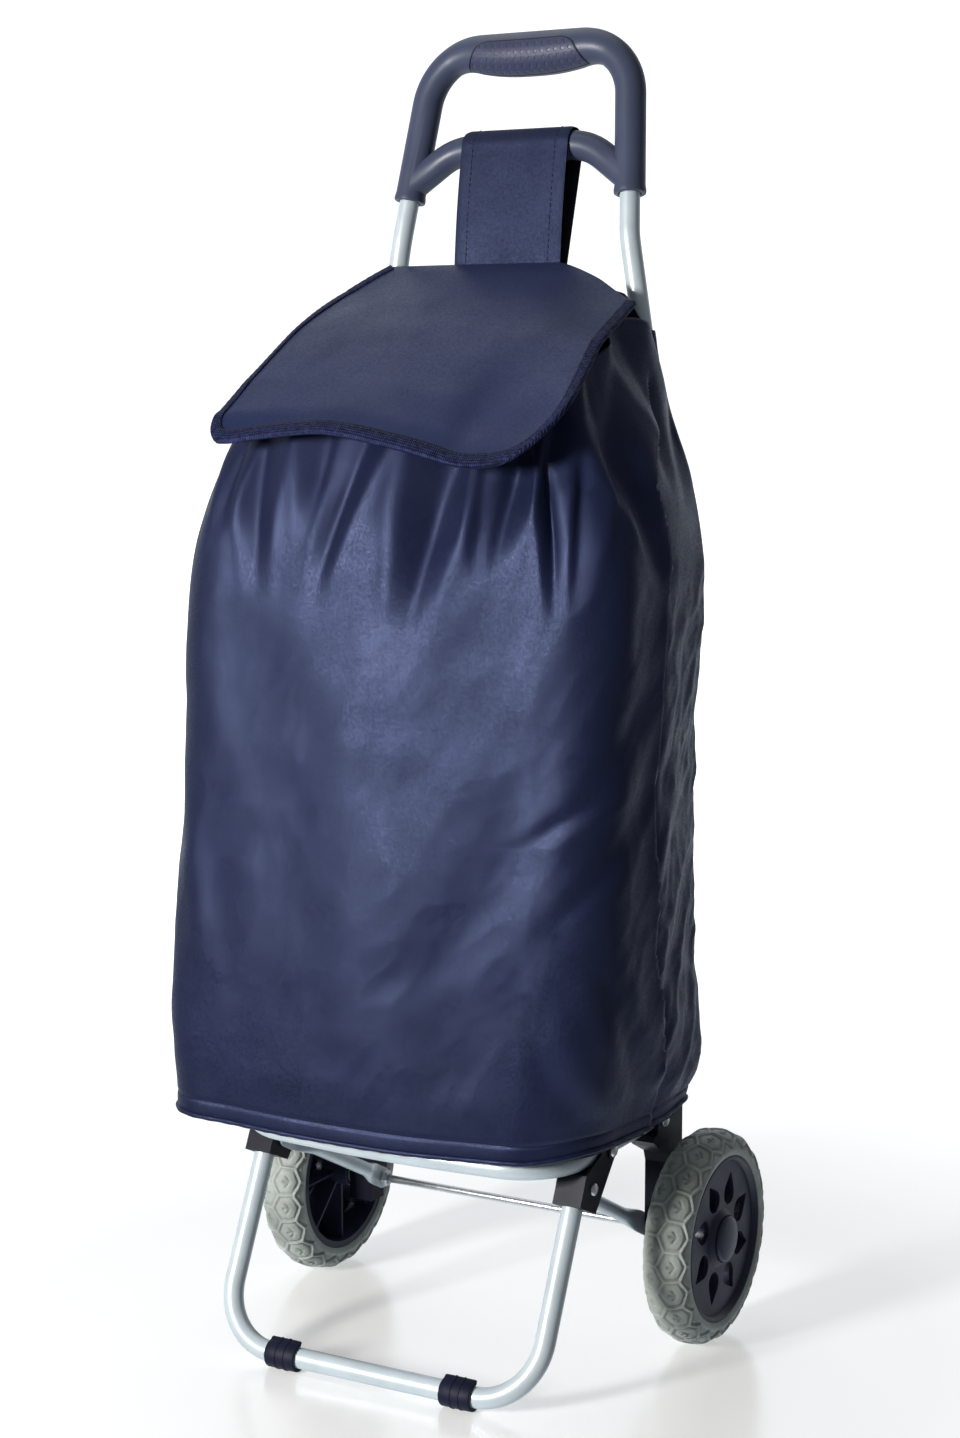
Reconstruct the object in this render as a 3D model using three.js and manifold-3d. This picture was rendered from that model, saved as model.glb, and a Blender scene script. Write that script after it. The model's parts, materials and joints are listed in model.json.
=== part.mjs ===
// Folding shopping trolley: a bent-tube frame with a fold-up platform, two wheels on one
// axle, a moulded handle and a fabric bag with a flap lid. Millimetres, +Z up, +X to the
// right when seen from the front, and the front faces -Y. The floor is z = 0.
import * as THREE from 'three';
import { mergeVertices } from 'three/addons/utils/BufferGeometryUtils.js';
import Module from 'manifold-3d';

const wasm = await Module();
wasm.setup();

// ---- driving dimensions ----------------------------------------------------
const GAP = 0.3; // between pieces that touch
const TUBE_R = 7.5; // all main tubes
const TUBE_WALL = 1.2;
const WHEEL_R = 80;
const AXLE_R = 3;
const RAIL_X = 131; // uprights and platform arms
const LEG_X = 130;

// pivots of the folding linkage, as [y, z], with the axle at y = 0
const PIVOT_REAR = [-20, 170]; // platform on the rear bracket
const PIVOT_FRONT = [-106.5, 170]; // leg bracket on the platform
const PIVOT_BRACE = [-135, 149.3]; // brace on the leg bracket
const PIVOT_AXLE = [0, WHEEL_R];

const LEG_LEAN = 25; // degrees forward of vertical
const LEG_EXIT = [-146, 137]; // where the leg leaves its bracket
const FOOT_Z = 10.5;
const FOOT_BEND = 46;
const CLIP_R = 10.5;
const CLIP_X = 73;
const CLIP_LONG = 25;

const PLATFORM_CORNER_Y = -179;
const PLATFORM_BOW_Y = -189;
const PLATFORM_BEND = 45;

const BRACKET_TOP = 177.4;
const UPRIGHT_FLARE_Z = 604; // the uprights run parallel up to here
const NECK = [96, 1.6, 816]; // where they crank back
const SOCKET = [93, 7.7, 845.6]; // lower end of the handle moulding
const HANDLE_TOP_Z = 957.5;
const HANDLE_R = 11.4;

const BAG_HALF = 174.6;
const BAG_FRONT = -198;
const BAG_BACK = -7.9;
const BAG_WALL = 2.1;
const BAG_LOW = 178;

// ---- materials --------------------------------------------------------------
const rgb = (r, g, b) => new THREE.Color().setRGB(r / 255, g / 255, b / 255, THREE.SRGBColorSpace);
const finish = (color, roughness, metalness = 0) =>
  new THREE.MeshStandardMaterial({ color, roughness, metalness });
const fabric = finish(rgb(40, 45, 78), 0.6);
const darkFabric = finish(rgb(20, 20, 26), 0.75);
const handlePlastic = finish(rgb(54, 56, 80), 0.45);
const gripPlastic = finish(rgb(62, 64, 90), 0.65);
const bracketPlastic = finish(rgb(36, 36, 56), 0.45);
const hubPlastic = finish(rgb(38, 43, 66), 0.4);
const paint = finish(rgb(178, 192, 198), 0.32, 0.6);
const steel = finish(rgb(200, 202, 206), 0.25, 1);
const rubber = finish(rgb(112, 114, 106), 0.8);
const board = finish(rgb(30, 33, 52), 0.8);

// ---- joining and cutting ----------------------------------------------------
function toSolid(geometry) {
  const bare = geometry.clone();
  bare.deleteAttribute('normal');
  bare.deleteAttribute('uv');
  const merged = mergeVertices(bare, 1e-4);
  return new wasm.Manifold(new wasm.Mesh({
    numProp: 3,
    vertProperties: new Float32Array(merged.attributes.position.array),
    triVerts: new Uint32Array(merged.index.array),
  }));
}

function toGeometry(solid) {
  const mesh = solid.getMesh();
  const geometry = new THREE.BufferGeometry();
  geometry.setAttribute('position', new THREE.BufferAttribute(mesh.vertProperties, 3));
  geometry.setIndex(new THREE.BufferAttribute(mesh.triVerts, 1));
  geometry.computeVertexNormals();
  return geometry;
}

const join = (...parts) => parts.reduce((all, one) => all.add(one));
const cut = (body, ...tools) => tools.reduce((left, tool) => left.subtract(tool), body);

// ---- shapes and paths -------------------------------------------------------
function roundShape(radius, sides, hole = 0) {
  const ring = (r, n) => Array.from({ length: n }, (_, i) => {
    const a = (2 * Math.PI * (i + 0.5)) / n;
    return new THREE.Vector2(r * Math.cos(a), r * Math.sin(a));
  });
  const shape = new THREE.Shape(ring(radius, sides));
  if (hole) shape.holes.push(new THREE.Path(ring(hole, 8).reverse()));
  return shape;
}

const outline = (points) => new THREE.Shape(points.map(([a, b]) => new THREE.Vector2(a, b)));

// A rectangle with rounded corners, as a list of points. rear is the radius on the +Y side.
function roundedRect(x0, y0, x1, y1, radius, rear = radius, steps = 3) {
  const corners = [
    [x1 - radius, y0 + radius, -90, radius],
    [x1 - rear, y1 - rear, 0, rear],
    [x0 + rear, y1 - rear, 90, rear],
    [x0 + radius, y0 + radius, 180, radius],
  ];
  return corners.flatMap(([cx, cy, from, r]) => Array.from({ length: steps + 1 }, (_, i) => {
    const a = THREE.MathUtils.degToRad(from + (90 * i) / steps);
    return [cx + r * Math.cos(a), cy + r * Math.sin(a)];
  }));
}

// A path made of exact stations, so that a swept tube only has steps in its bends.
class StationPath extends THREE.Curve {
  constructor(stations) {
    super();
    this.stations = stations;
  }

  get steps() {
    return this.stations.length - 1;
  }

  at(t) {
    return this.stations[Math.round(t * this.steps)];
  }

  getPoint(t) {
    return this.at(t).point.clone();
  }

  getPointAt(t) {
    return this.at(t).point.clone();
  }

  getTangent(t) {
    return this.at(t).tangent.clone();
  }

  getTangentAt(t) {
    return this.at(t).tangent.clone();
  }
}

// Straight runs joined by bends: each corner is [x, y, z, bend radius, steps].
function bentPath(corners) {
  const at = corners.map(([x, y, z]) => new THREE.Vector3(x, y, z));
  const stations = [];
  const go = (i) => at[i + 1].clone().sub(at[i]).normalize();
  stations.push({ point: at[0], tangent: go(0) });
  for (let i = 1; i < at.length - 1; i++) {
    const [into, out] = [go(i - 1), go(i)];
    const [, , , radius = 40, steps = 5] = corners[i];
    const turn = into.angleTo(out);
    const reach = radius * Math.tan(turn / 2);
    const start = at[i].clone().addScaledVector(into, -reach);
    const side = out.clone().addScaledVector(into, -out.dot(into)).normalize();
    for (let k = 0; k <= steps; k++) {
      const a = (turn * k) / steps;
      const point = start.clone().addScaledVector(into, radius * Math.sin(a));
      point.addScaledVector(side, radius * (1 - Math.cos(a)));
      const tangent = into.clone().multiplyScalar(Math.cos(a));
      tangent.addScaledVector(side, Math.sin(a));
      stations.push({ point, tangent });
    }
  }
  stations.push({ point: at[at.length - 1], tangent: go(at.length - 2) });
  return new StationPath(stations);
}

function sweep(shape, path) {
  return new THREE.ExtrudeGeometry(shape, { steps: path.steps, extrudePath: path });
}

const tube = (corners, radius = TUBE_R, wall = TUBE_WALL, sides = 12) =>
  sweep(roundShape(radius, sides, wall ? radius - wall : 0), bentPath(corners));

// An outline in the YZ plane, carried from x0 to x1.
function acrossX(points, x0, x1) {
  const geometry = new THREE.ExtrudeGeometry(outline(points), {
    depth: x1 - x0,
    bevelEnabled: false,
  });
  geometry.applyMatrix4(new THREE.Matrix4().makeBasis(
    new THREE.Vector3(0, 1, 0),
    new THREE.Vector3(0, 0, 1),
    new THREE.Vector3(1, 0, 0),
  ));
  return geometry.translate(x0, 0, 0);
}

// An outline in the XY plane, carried from z0 to z1.
function upZ(points, z0, z1, hole = null) {
  const shape = outline(points);
  if (hole) shape.holes.push(new THREE.Path(hole.map(([x, y]) => new THREE.Vector2(x, y))));
  const geometry = new THREE.ExtrudeGeometry(shape, { depth: z1 - z0, bevelEnabled: false });
  return geometry.translate(0, 0, z0);
}

// A round solid on an axis along X, from [x, radius] pairs that start and end on the axis
// or close on themselves.
function turnedX(profile, sides = 20) {
  const points = profile.map(([x, r]) => new THREE.Vector2(r, x));
  const geometry = new THREE.LatheGeometry(points, sides);
  return geometry.rotateZ(-Math.PI / 2);
}

const rod = (x0, x1, radius, sides = 14) =>
  turnedX([[x0, 0], [x0, radius], [x1, radius], [x1, 0]], sides);

const washer = (x0, x1, inner, outer, sides = 12) =>
  turnedX([[x0, inner], [x0, outer], [x1, outer], [x1, inner], [x0, inner]], sides);

const placed = (geometry, [y, z], x = 0) => geometry.clone().translate(x, y, z);
const hole = (pivot, x0, x1, radius) => toSolid(placed(rod(x0, x1, radius, 10), pivot));

// ---- the tree of pieces -----------------------------------------------------
const trolley = new THREE.Group();
trolley.name = 'trolley';

function add(name, geometry, material) {
  const mesh = new THREE.Mesh(geometry, material);
  mesh.name = name;
  trolley.add(mesh);
  return mesh;
}

// A mirrored copy keeps its faces pointing out.
function mirrored(geometry) {
  const copy = geometry.index ? geometry.toNonIndexed() : geometry.clone();
  const position = copy.attributes.position;
  for (let i = 0; i < position.count; i += 3) {
    const corner = [0, 1, 2].map((k) => new THREE.Vector3().fromBufferAttribute(position, i + k));
    [0, 2, 1].forEach((k, n) => position.setXYZ(i + n, -corner[k].x, corner[k].y, corner[k].z));
  }
  copy.computeVertexNormals();
  return copy;
}

function addPair(name, geometry, material) {
  add(`${name}_right`, geometry, material);
  add(`${name}_left`, mirrored(geometry), material);
}

// ---- uprights and their cross tube -----------------------------------------
const armSlope = new THREE.Vector3(...SOCKET).sub(new THREE.Vector3(...NECK)).normalize();
const onArm = (z) => {
  const neck = new THREE.Vector3(...NECK);
  return neck.addScaledVector(armSlope, (z - NECK[2]) / armSlope.z).toArray();
};

addPair('upright', tube([
  [RAIL_X, 0, 92],
  [RAIL_X, 0, UPRIGHT_FLARE_Z, 160, 4],
  [...NECK, 70, 4],
  onArm(905),
]), paint);

const crossTube = tube([[-RAIL_X + TUBE_R + GAP, 0, 330], [RAIL_X - TUBE_R - GAP, 0, 330]], 6.35);
add('rear_crossbar', crossTube, paint);

// ---- handle -----------------------------------------------------------------
const barY = onArm(HANDLE_TOP_Z)[1];
const corner = onArm(HANDLE_TOP_Z);
const lowArm = onArm(SOCKET[2]);
const flip = ([x, y, z, ...rest]) => [-x, y, z, ...rest];
const loop = toSolid(tube([
  lowArm,
  [...corner, 44, 6],
  flip([...corner, 44, 6]),
  flip(lowArm),
], HANDLE_R, 0, 12));

const crossY = (z) => onArm(z)[1];
const crossbar = toSolid(tube([
  [onArm(857)[0], crossY(857), 857],
  [56, crossY(883.2), 883.2, 46, 4],
  [-56, crossY(883.2), 883.2, 46, 4],
  [-onArm(857)[0], crossY(857), 857],
], 10.8, 0, 12));

const bellyProfile = (less) => {
  const points = [[-64, 0]];
  for (let i = 0; i <= 8; i++) {
    const x = -64 + (128 * i) / 8;
    points.push([x, 10.9 - less + 5.3 * Math.cos((Math.PI * x) / 128) ** 2]);
  }
  return [...points, [64, 0]];
};
const belly = (less) => toSolid(placed(turnedX(bellyProfile(less), 14), [barY, HANDLE_TOP_Z - 4.7]));

// soft insert let into the front of the grip
const insertOutline = (grow) => [
  [-50 - grow, 941 - grow],
  [50 + grow, 941 - grow],
  [38 + grow, 962 + grow],
  [-38 - grow, 962 + grow],
];
const insertPrism = (grow) => {
  const geometry = new THREE.ExtrudeGeometry(outline(insertOutline(grow)), {
    depth: 40,
    bevelEnabled: false,
  });
  return toSolid(geometry.rotateX(Math.PI / 2).translate(0, barY - 2, 0));
};

const upperSolid = join(loop, crossbar, belly(0));
const boreLine = (z0, z1) => tube([onArm(z0), onArm(z1)], TUBE_R + GAP + 0.1, 0, 12);
const bores = join(toSolid(boreLine(838, 905.4)), toSolid(mirrored(boreLine(838, 905.4))));
const pocket = cut(insertPrism(GAP), belly(2.6 + GAP));
add('handle_moulding', toGeometry(cut(upperSolid, bores, pocket)), handlePlastic);
const insert = cut(belly(0.1).intersect(insertPrism(0)), belly(2.6));
add('handle_grip', toGeometry(insert), gripPlastic);

// ---- rear brackets ----------------------------------------------------------
const bracketIn = 120.5;
const bracketOut = 141.5;
const cheek = TUBE_R + 0.6;
const rearBracketOutline = [
  [-9.5, 62], [8, 62], [8, 136], [10.5, 143], [10.5, BRACKET_TOP], [-24, BRACKET_TOP],
  [-29.5, 174], [-31.5, 168], [-32, 162.2], [-38, 161.2], [-38.5, 157], [-31, 151.5],
  [-12.5, 142], [-9.5, 134],
];
const slotOutline = [[-60, 162.2], [PIVOT_REAR[0], 162.2], [PIVOT_REAR[0], 190], [-60, 190]];
const rearBracket = cut(
  toSolid(acrossX(rearBracketOutline, bracketIn, bracketOut)),
  toSolid(acrossX(slotOutline, RAIL_X - cheek, RAIL_X + cheek)),
  hole(PIVOT_REAR, RAIL_X - cheek, RAIL_X + cheek, 10.7),
  toSolid(acrossX([[-25, 171], [-9.6, 171], [-9.6, 190], [-25, 190]], RAIL_X - cheek, RAIL_X + cheek)),
  toSolid(tube([[RAIL_X, 0, 91.6], [RAIL_X, 0, 200]], TUBE_R + GAP, 0, 12)),
  hole(PIVOT_REAR, 100, 160, 2.8),
  hole(PIVOT_AXLE, 100, 160, AXLE_R + GAP),
);
addPair('rear_bracket', toGeometry(rearBracket), bracketPlastic);

// ---- rivets: a shank with two low domed heads -------------------------------
function rivet(x0, x1, shank, head, domeIn, domeOut) {
  const profile = [[x0 - domeIn, 0]];
  if (domeIn) profile.push([x0 - domeIn, head * 0.55], [x0 - domeIn * 0.4, head * 0.92], [x0, head]);
  profile.push([x0, shank], [x1, shank]);
  if (domeOut) profile.push([x1, head], [x1 + domeOut * 0.4, head * 0.92]);
  if (domeOut) profile.push([x1 + domeOut, head * 0.55]);
  profile.push([x1 + domeOut, 0]);
  return turnedX(profile, 10);
}

addPair('platform_rivet', placed(rivet(120.2, 141.8, 2.5, 4.8, 1.8, 2.4), PIVOT_REAR), steel);

// ---- platform: a U of tube with a bowed front -------------------------------
const platformTube = toSolid(tube([
  [RAIL_X, PIVOT_REAR[0] + 7, PIVOT_REAR[1]],
  [RAIL_X, PLATFORM_CORNER_Y, PIVOT_REAR[1], PLATFORM_BEND, 5],
  [0, PLATFORM_BOW_Y, PIVOT_REAR[1], 600, 1],
  [-RAIL_X, PLATFORM_CORNER_Y, PIVOT_REAR[1], PLATFORM_BEND, 5],
  [-RAIL_X, PIVOT_REAR[0] + 7, PIVOT_REAR[1]],
]));
const platform = cut(
  platformTube,
  ...[PIVOT_REAR, PIVOT_FRONT].flatMap((pivot) => [
    hole(pivot, 110, 150, 2.8),
    hole(pivot, -150, -110, 2.8),
  ]),
);
add('platform_frame', toGeometry(platform), paint);

// ---- legs: one U of tube that leans forward ---------------------------------
const lean = THREE.MathUtils.degToRad(LEG_LEAN);
const legAt = (down, front = 0) => [
  LEG_EXIT[0] - down * Math.sin(lean) - front * Math.cos(lean),
  LEG_EXIT[1] - down * Math.cos(lean) + front * Math.sin(lean),
];
const footDown = (LEG_EXIT[1] - FOOT_Z) / Math.cos(lean);
const foot = legAt(footDown);
const legTube = toSolid(tube([
  [LEG_X, ...legAt(-24)],
  [LEG_X, ...foot, FOOT_BEND, 5],
  [-LEG_X, ...foot, FOOT_BEND, 5],
  [-LEG_X, ...legAt(-24)],
]));
const legs = cut(legTube, hole(PIVOT_BRACE, 110, 150, 2.8), hole(PIVOT_BRACE, -150, -110, 2.8));
add('leg_frame', toGeometry(legs), paint);

// ---- leg brackets: two cheeks round the platform arm over a leg socket ------
const ear = (degrees, radius = 7.6) => {
  const a = THREE.MathUtils.degToRad(degrees);
  return [PIVOT_FRONT[0] + radius * Math.cos(a), PIVOT_FRONT[1] + radius * Math.sin(a)];
};
const legIn = LEG_X - 11;
const legOut = LEG_X + 11;
const legSlot = TUBE_R + 0.4;
const legBracketOutline = [
  legAt(0, 10.5), legAt(0, -16), ear(-36), ear(0), ear(30), ear(60), ear(90), ear(112),
  [-146.1, 161.6],
];
const behindLeg = [legAt(60, -13.8), legAt(60, -70), legAt(-70, -70), legAt(-70, -13.8)];
const legBracket = cut(
  toSolid(acrossX(legBracketOutline, legIn, legOut)),
  toSolid(acrossX([[-175, 162.2], [-80, 162.2], [-80, 195], [-175, 195]], LEG_X - legSlot,
    RAIL_X + legSlot)),
  toSolid(acrossX(behindLeg, LEG_X - legSlot, RAIL_X + legSlot)),
  toSolid(tube([[LEG_X, ...legAt(20)], [LEG_X, ...legAt(-24.4)]], TUBE_R + GAP, 0, 12)),
  hole(PIVOT_FRONT, 100, 160, 2.8),
  hole(PIVOT_BRACE, 100, 160, 2.8),
);
addPair('leg_bracket', toGeometry(legBracket), bracketPlastic);
addPair('leg_washer', placed(washer(legOut + GAP, legOut + 1.1, 2.8, 6.4, 12), PIVOT_FRONT),
  bracketPlastic);
addPair('leg_rivet', placed(rivet(legIn - GAP, legOut + 1.4, 2.5, 4.6, 1.4, 2.3), PIVOT_FRONT), steel);
addPair('socket_rivet', placed(rivet(legIn + GAP, legOut + GAP, 2.5, 4.6, 0, 2.3), PIVOT_BRACE), steel);

// ---- foot clips: open C rings pushed onto the foot bar ----------------------
const clipOutline = () => {
  const arc = (radius, from, to, steps) => Array.from({ length: steps + 1 }, (_, i) => {
    const a = THREE.MathUtils.degToRad(from + ((to - from) * i) / steps);
    return [foot[0] + radius * Math.cos(a), foot[1] + radius * Math.sin(a)];
  });
  return [
    ...arc(CLIP_R, 90, 360, 12), ...arc(12.4, 366, 372, 1),
    ...arc(TUBE_R + GAP + 0.1, 368, 84, 12), ...arc(12.4, 80, 84, 1),
  ];
};
addPair('foot_clip', acrossX(clipOutline(), CLIP_X - CLIP_LONG / 2, CLIP_X + CLIP_LONG / 2),
  bracketPlastic);

// ---- braces: tubes with flattened ends --------------------------------------
const braceX = 112.4;
const plateX = 116.8;
const braceSpan = Math.hypot(PIVOT_BRACE[0], PIVOT_BRACE[1] - WHEEL_R);
const braceAngle = Math.atan2(PIVOT_BRACE[1] - WHEEL_R, -PIVOT_BRACE[0]);
function braceGeometry() {
  const END = 9;
  const stops = [0, 0.035, 0.12, 0.17, 0.22, 0.28, 0.72, 0.78, 0.83, 0.88, 0.965, 1];
  const geometry = new THREE.ExtrudeGeometry(roundShape(1, 12), {
    steps: stops.length - 1,
    depth: 1,
    bevelEnabled: false,
  });
  const position = geometry.attributes.position;
  const long = braceSpan + 2 * END;
  for (let i = 0; i < position.count; i++) {
    const at = stops[Math.round(position.getZ(i) * (stops.length - 1))] * long;
    const from = Math.min(at, long - at);
    const round = THREE.MathUtils.smoothstep(from, 21, 46);
    const tip = Math.min(1, 0.72 + (0.28 * from) / 6);
    const halfWide = THREE.MathUtils.lerp(8.3, 5.5, round) * tip;
    const halfThick = THREE.MathUtils.lerp(1.3, 5.5, round);
    const middle = THREE.MathUtils.lerp(plateX, braceX, round);
    const [flat, wide] = [position.getX(i), position.getY(i)];
    const boxy = Math.sign(flat) * Math.min(1, Math.abs(flat) * 1.8);
    const thick = THREE.MathUtils.lerp(boxy, flat, round) * halfThick;
    position.setXYZ(i, middle + thick, -(at - END), wide * halfWide);
  }
  return geometry.rotateX(-braceAngle).translate(0, 0, WHEEL_R);
}
const brace = cut(
  toSolid(braceGeometry()),
  hole(PIVOT_AXLE, 100, 130, AXLE_R + GAP),
  hole(PIVOT_BRACE, 100, 130, 2.8),
);
addPair('brace', toGeometry(brace), paint);
addPair('brace_rivet', placed(rivet(115.2, 118.4, 2.5, 4.4, 1.8, 0), PIVOT_BRACE), steel);

// ---- axle and its small parts -----------------------------------------------
add('axle', placed(rod(-181, 181, AXLE_R, 12), PIVOT_AXLE), steel);
addPair('axle_nut', placed(washer(110.4, 115.1, AXLE_R + 0.8, 6.4, 6), PIVOT_AXLE), steel);
addPair('axle_spacer', placed(washer(118.5, 120.2, AXLE_R + GAP, 6.5), PIVOT_AXLE), steel);
addPair('wheel_washer', placed(washer(141.9, 143.9, AXLE_R + GAP, 8.5), PIVOT_AXLE), steel);

// ---- wheels -----------------------------------------------------------------
const TYRE_IN = 148;
const TYRE_OUT = 184;
const RIM_R = 61.5;

const tyreProfile = [
  [TYRE_IN + 1.5, RIM_R + GAP], [TYRE_IN, 66], [TYRE_IN + 1.5, 72], [TYRE_IN + 6, 77.4],
  [TYRE_IN + 12, WHEEL_R], [TYRE_OUT - 12, WHEEL_R], [TYRE_OUT - 6, 77.4], [TYRE_OUT - 1.5, 72],
  [TYRE_OUT, 66], [TYRE_OUT - 1.5, RIM_R + GAP], [TYRE_IN + 1.5, RIM_R + GAP],
];
addPair('tyre', placed(turnedX(tyreProfile, 28), PIVOT_AXLE), rubber);

// a pointed, curving leaf between two radii, turned about the axle
function leaf(turn) {
  const along = [0, 0.12, 0.3, 0.5, 0.72, 1];
  const half = [0, 5.2, 7.4, 6.0, 3.2, 0];
  const bow = (t) => 5.0 * (t * t - 0.35 * t);
  const place = (t, w) => {
    const [r, side] = [25 + 24.5 * t, bow(t) + w];
    return [r * Math.cos(turn) - side * Math.sin(turn), r * Math.sin(turn) + side * Math.cos(turn)];
  };
  return [
    ...along.map((t, i) => place(t, half[i])),
    ...along.map((t, i) => place(t, -half[i])).reverse().slice(1, -1),
  ];
}

function hubGeometry() {
  const rim = turnedX([
    [TYRE_IN + 2, 56.5], [TYRE_IN + 2, RIM_R], [TYRE_OUT - 2, RIM_R], [TYRE_OUT - 2.5, 57],
    [TYRE_OUT - 5, 55], [TYRE_OUT - 8, 56.5], [TYRE_IN + 2, 56.5],
  ], 28);
  const boss = washer(144.3, 182.6, AXLE_R + GAP, 11, 14);
  const face = rod(176, 179.4, 56.8, 28);
  const dish = turnedX([[178, 0], [178, 22], [179.3, 22], [182.6, 17.6], [182.6, 0]], 16);
  const leaves = Array.from({ length: 8 }, (_, i) =>
    toSolid(acrossX(leaf((2 * Math.PI * (i + 0.5)) / 8), 170, 190)));
  const ribs = Array.from({ length: 8 }, (_, i) => {
    const rib = acrossX([[8, -1.2], [57.5, -1.2], [57.5, 1.2], [8, 1.2]], 155, 177);
    return toSolid(rib.rotateX((2 * Math.PI * i) / 8));
  });
  const solid = join(toSolid(rim), toSolid(face), toSolid(dish), toSolid(boss), ...ribs);
  return toGeometry(cut(solid, ...leaves, toSolid(rod(140, 190, AXLE_R + GAP, 14))));
}
addPair('wheel_hub', hubGeometry().translate(0, ...PIVOT_AXLE), hubPlastic);

const capProfile = [
  [182.9, 0], [182.9, 17.2], [184.4, 17.2], [186.2, 14.5], [187.2, 9], [187.5, 0],
];
addPair('hub_cap', placed(turnedX(capProfile, 18), PIVOT_AXLE), hubPlastic);

// ---- bag: walls open at the top and bottom, its floor rides on the platform -
const BAG_STEPS = 8;
function bagTop(x, y) {
  const back = THREE.MathUtils.smoothstep(y, -60, BAG_BACK - 2);
  const middle = 1 - THREE.MathUtils.smoothstep(Math.abs(x), 84, 128);
  const side = THREE.MathUtils.lerp(690, 752, THREE.MathUtils.clamp((y - BAG_FRONT) / 190, 0, 1));
  return side + 38 * back * middle;
}

function bagWalls() {
  const inner = roundedRect(-BAG_HALF + BAG_WALL, BAG_FRONT + BAG_WALL, BAG_HALF - BAG_WALL,
    BAG_BACK - BAG_WALL, 20, 8);
  const outer = roundedRect(-BAG_HALF, BAG_FRONT, BAG_HALF, BAG_BACK, 22, 10);
  // extra points along the back and front let the top edge rise and fall
  const dense = (points) => points.flatMap(([x, y], i) => {
    const [nx, ny] = points[(i + 1) % points.length];
    const parts = Math.max(1, Math.round(Math.hypot(nx - x, ny - y) / 56));
    return Array.from({ length: parts }, (_, k) => [x + ((nx - x) * k) / parts, y + ((ny - y) * k) / parts]);
  });
  const shape = outline(dense(outer));
  shape.holes.push(new THREE.Path(dense(inner).map(([x, y]) => new THREE.Vector2(x, y))));
  const geometry = new THREE.ExtrudeGeometry(shape, {
    steps: BAG_STEPS,
    depth: BAG_STEPS,
    bevelEnabled: false,
  });
  const levels = [0, 0.35, 0.6, 0.76, 0.82, 0.87, 0.92, 0.96, 1];
  const position = geometry.attributes.position;
  for (let i = 0; i < position.count; i++) {
    const [x, y] = [position.getX(i), position.getY(i)];
    const level = levels[Math.round(position.getZ(i))];
    const z = BAG_LOW + (bagTop(x, y) - BAG_LOW) * level;
    const drawn = THREE.MathUtils.smoothstep(z, 585, 740);
    const front = (BAG_BACK - y) / (BAG_BACK - BAG_FRONT);
    const narrow = 1 - (0.2 + 0.1 * (1 - front)) * drawn;
    const shallow = 1 - 0.24 * drawn * front;
    position.setXYZ(i, x * narrow, BAG_BACK - (BAG_BACK - y) * shallow, z);
  }
  return geometry;
}
add('bag_body', bagWalls(), fabric);

const pipeIn = roundedRect(-BAG_HALF - GAP, BAG_FRONT - GAP, BAG_HALF + GAP, 40, 22);
const pipeOut = roundedRect(-BAG_HALF - 3.2, BAG_FRONT - 3.2, BAG_HALF + 3.2, 40, 25);
const pipeCut = upZ([[-300, -30], [300, -30], [300, 60], [-300, 60]], 0, 400);
const piping = cut(
  toSolid(upZ(pipeOut, BAG_LOW + 0.2, BAG_LOW + 4.6)),
  toSolid(upZ(pipeIn, BAG_LOW - 5, BAG_LOW + 10)),
  toSolid(pipeCut),
);
add('bag_piping', toGeometry(piping), fabric);

const floorOutline = roundedRect(-BAG_HALF + 8.6, BAG_FRONT + 4.2, BAG_HALF - 8.6, -30, 14);
add('bag_floor', upZ(floorOutline, 177.9, 180.4), board);

// ---- lid: a flap hinged along the back, with a woven binding round three sides
const LID_EDGE = 11; // width of the binding
const lidMiddle = [
  [-12.9, 796.4], [-40, 782.5], [-70, 766], [-100, 748.5], [-130, 729], [-162, 706.5],
  [-186, 687.5], [-203, 671],
];
const lidOutline = (inset) => {
  const [edge, back] = [inset ? inset + GAP / 2 : 0, inset ? -8 : -13];
  return [
    [-88 + edge, back], [-120 + edge, -40], [-141.5 + edge, -176],
    [-140 + edge, -188 + edge * 0.6], [-131 + edge * 0.6, -198 + edge], [-119, -201.5 + edge],
    [119, -201.5 + edge], [131 - edge * 0.6, -198 + edge], [140 - edge, -188 + edge * 0.6],
    [141.5 - edge, -176], [120 - edge, -40], [88 - edge, back],
  ];
};

function lidSheet(thick) {
  const profile = [
    ...lidMiddle.map(([y, z]) => [y, z + thick / 2]),
    ...lidMiddle.map(([y, z]) => [y, z - thick / 2]).reverse(),
  ].reverse();
  const STEPS = 8;
  const geometry = new THREE.ExtrudeGeometry(outline(profile), {
    steps: STEPS,
    depth: STEPS,
    bevelEnabled: false,
  });
  const position = geometry.attributes.position;
  for (let i = 0; i < position.count; i++) {
    const [y, z] = [position.getX(i), position.getY(i)];
    const x = -150 + (300 * position.getZ(i)) / STEPS;
    const forward = THREE.MathUtils.smoothstep(-y, 20, 200);
    const droop = (3 + 9 * forward) * (x / 142) ** 2;
    position.setXYZ(i, x, y, z - droop);
  }
  return toSolid(geometry);
}
const lidPrism = (inset) => toSolid(upZ(lidOutline(inset), 600, 860));
const lid = lidSheet(2.4).intersect(lidPrism(0)).intersect(lidPrism(LID_EDGE));
add('bag_lid', toGeometry(lid), fabric);
const binding = lidSheet(3.8).intersect(lidPrism(0)).subtract(lidPrism(LID_EDGE - GAP));
add('lid_binding', toGeometry(binding), fabric);

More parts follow.
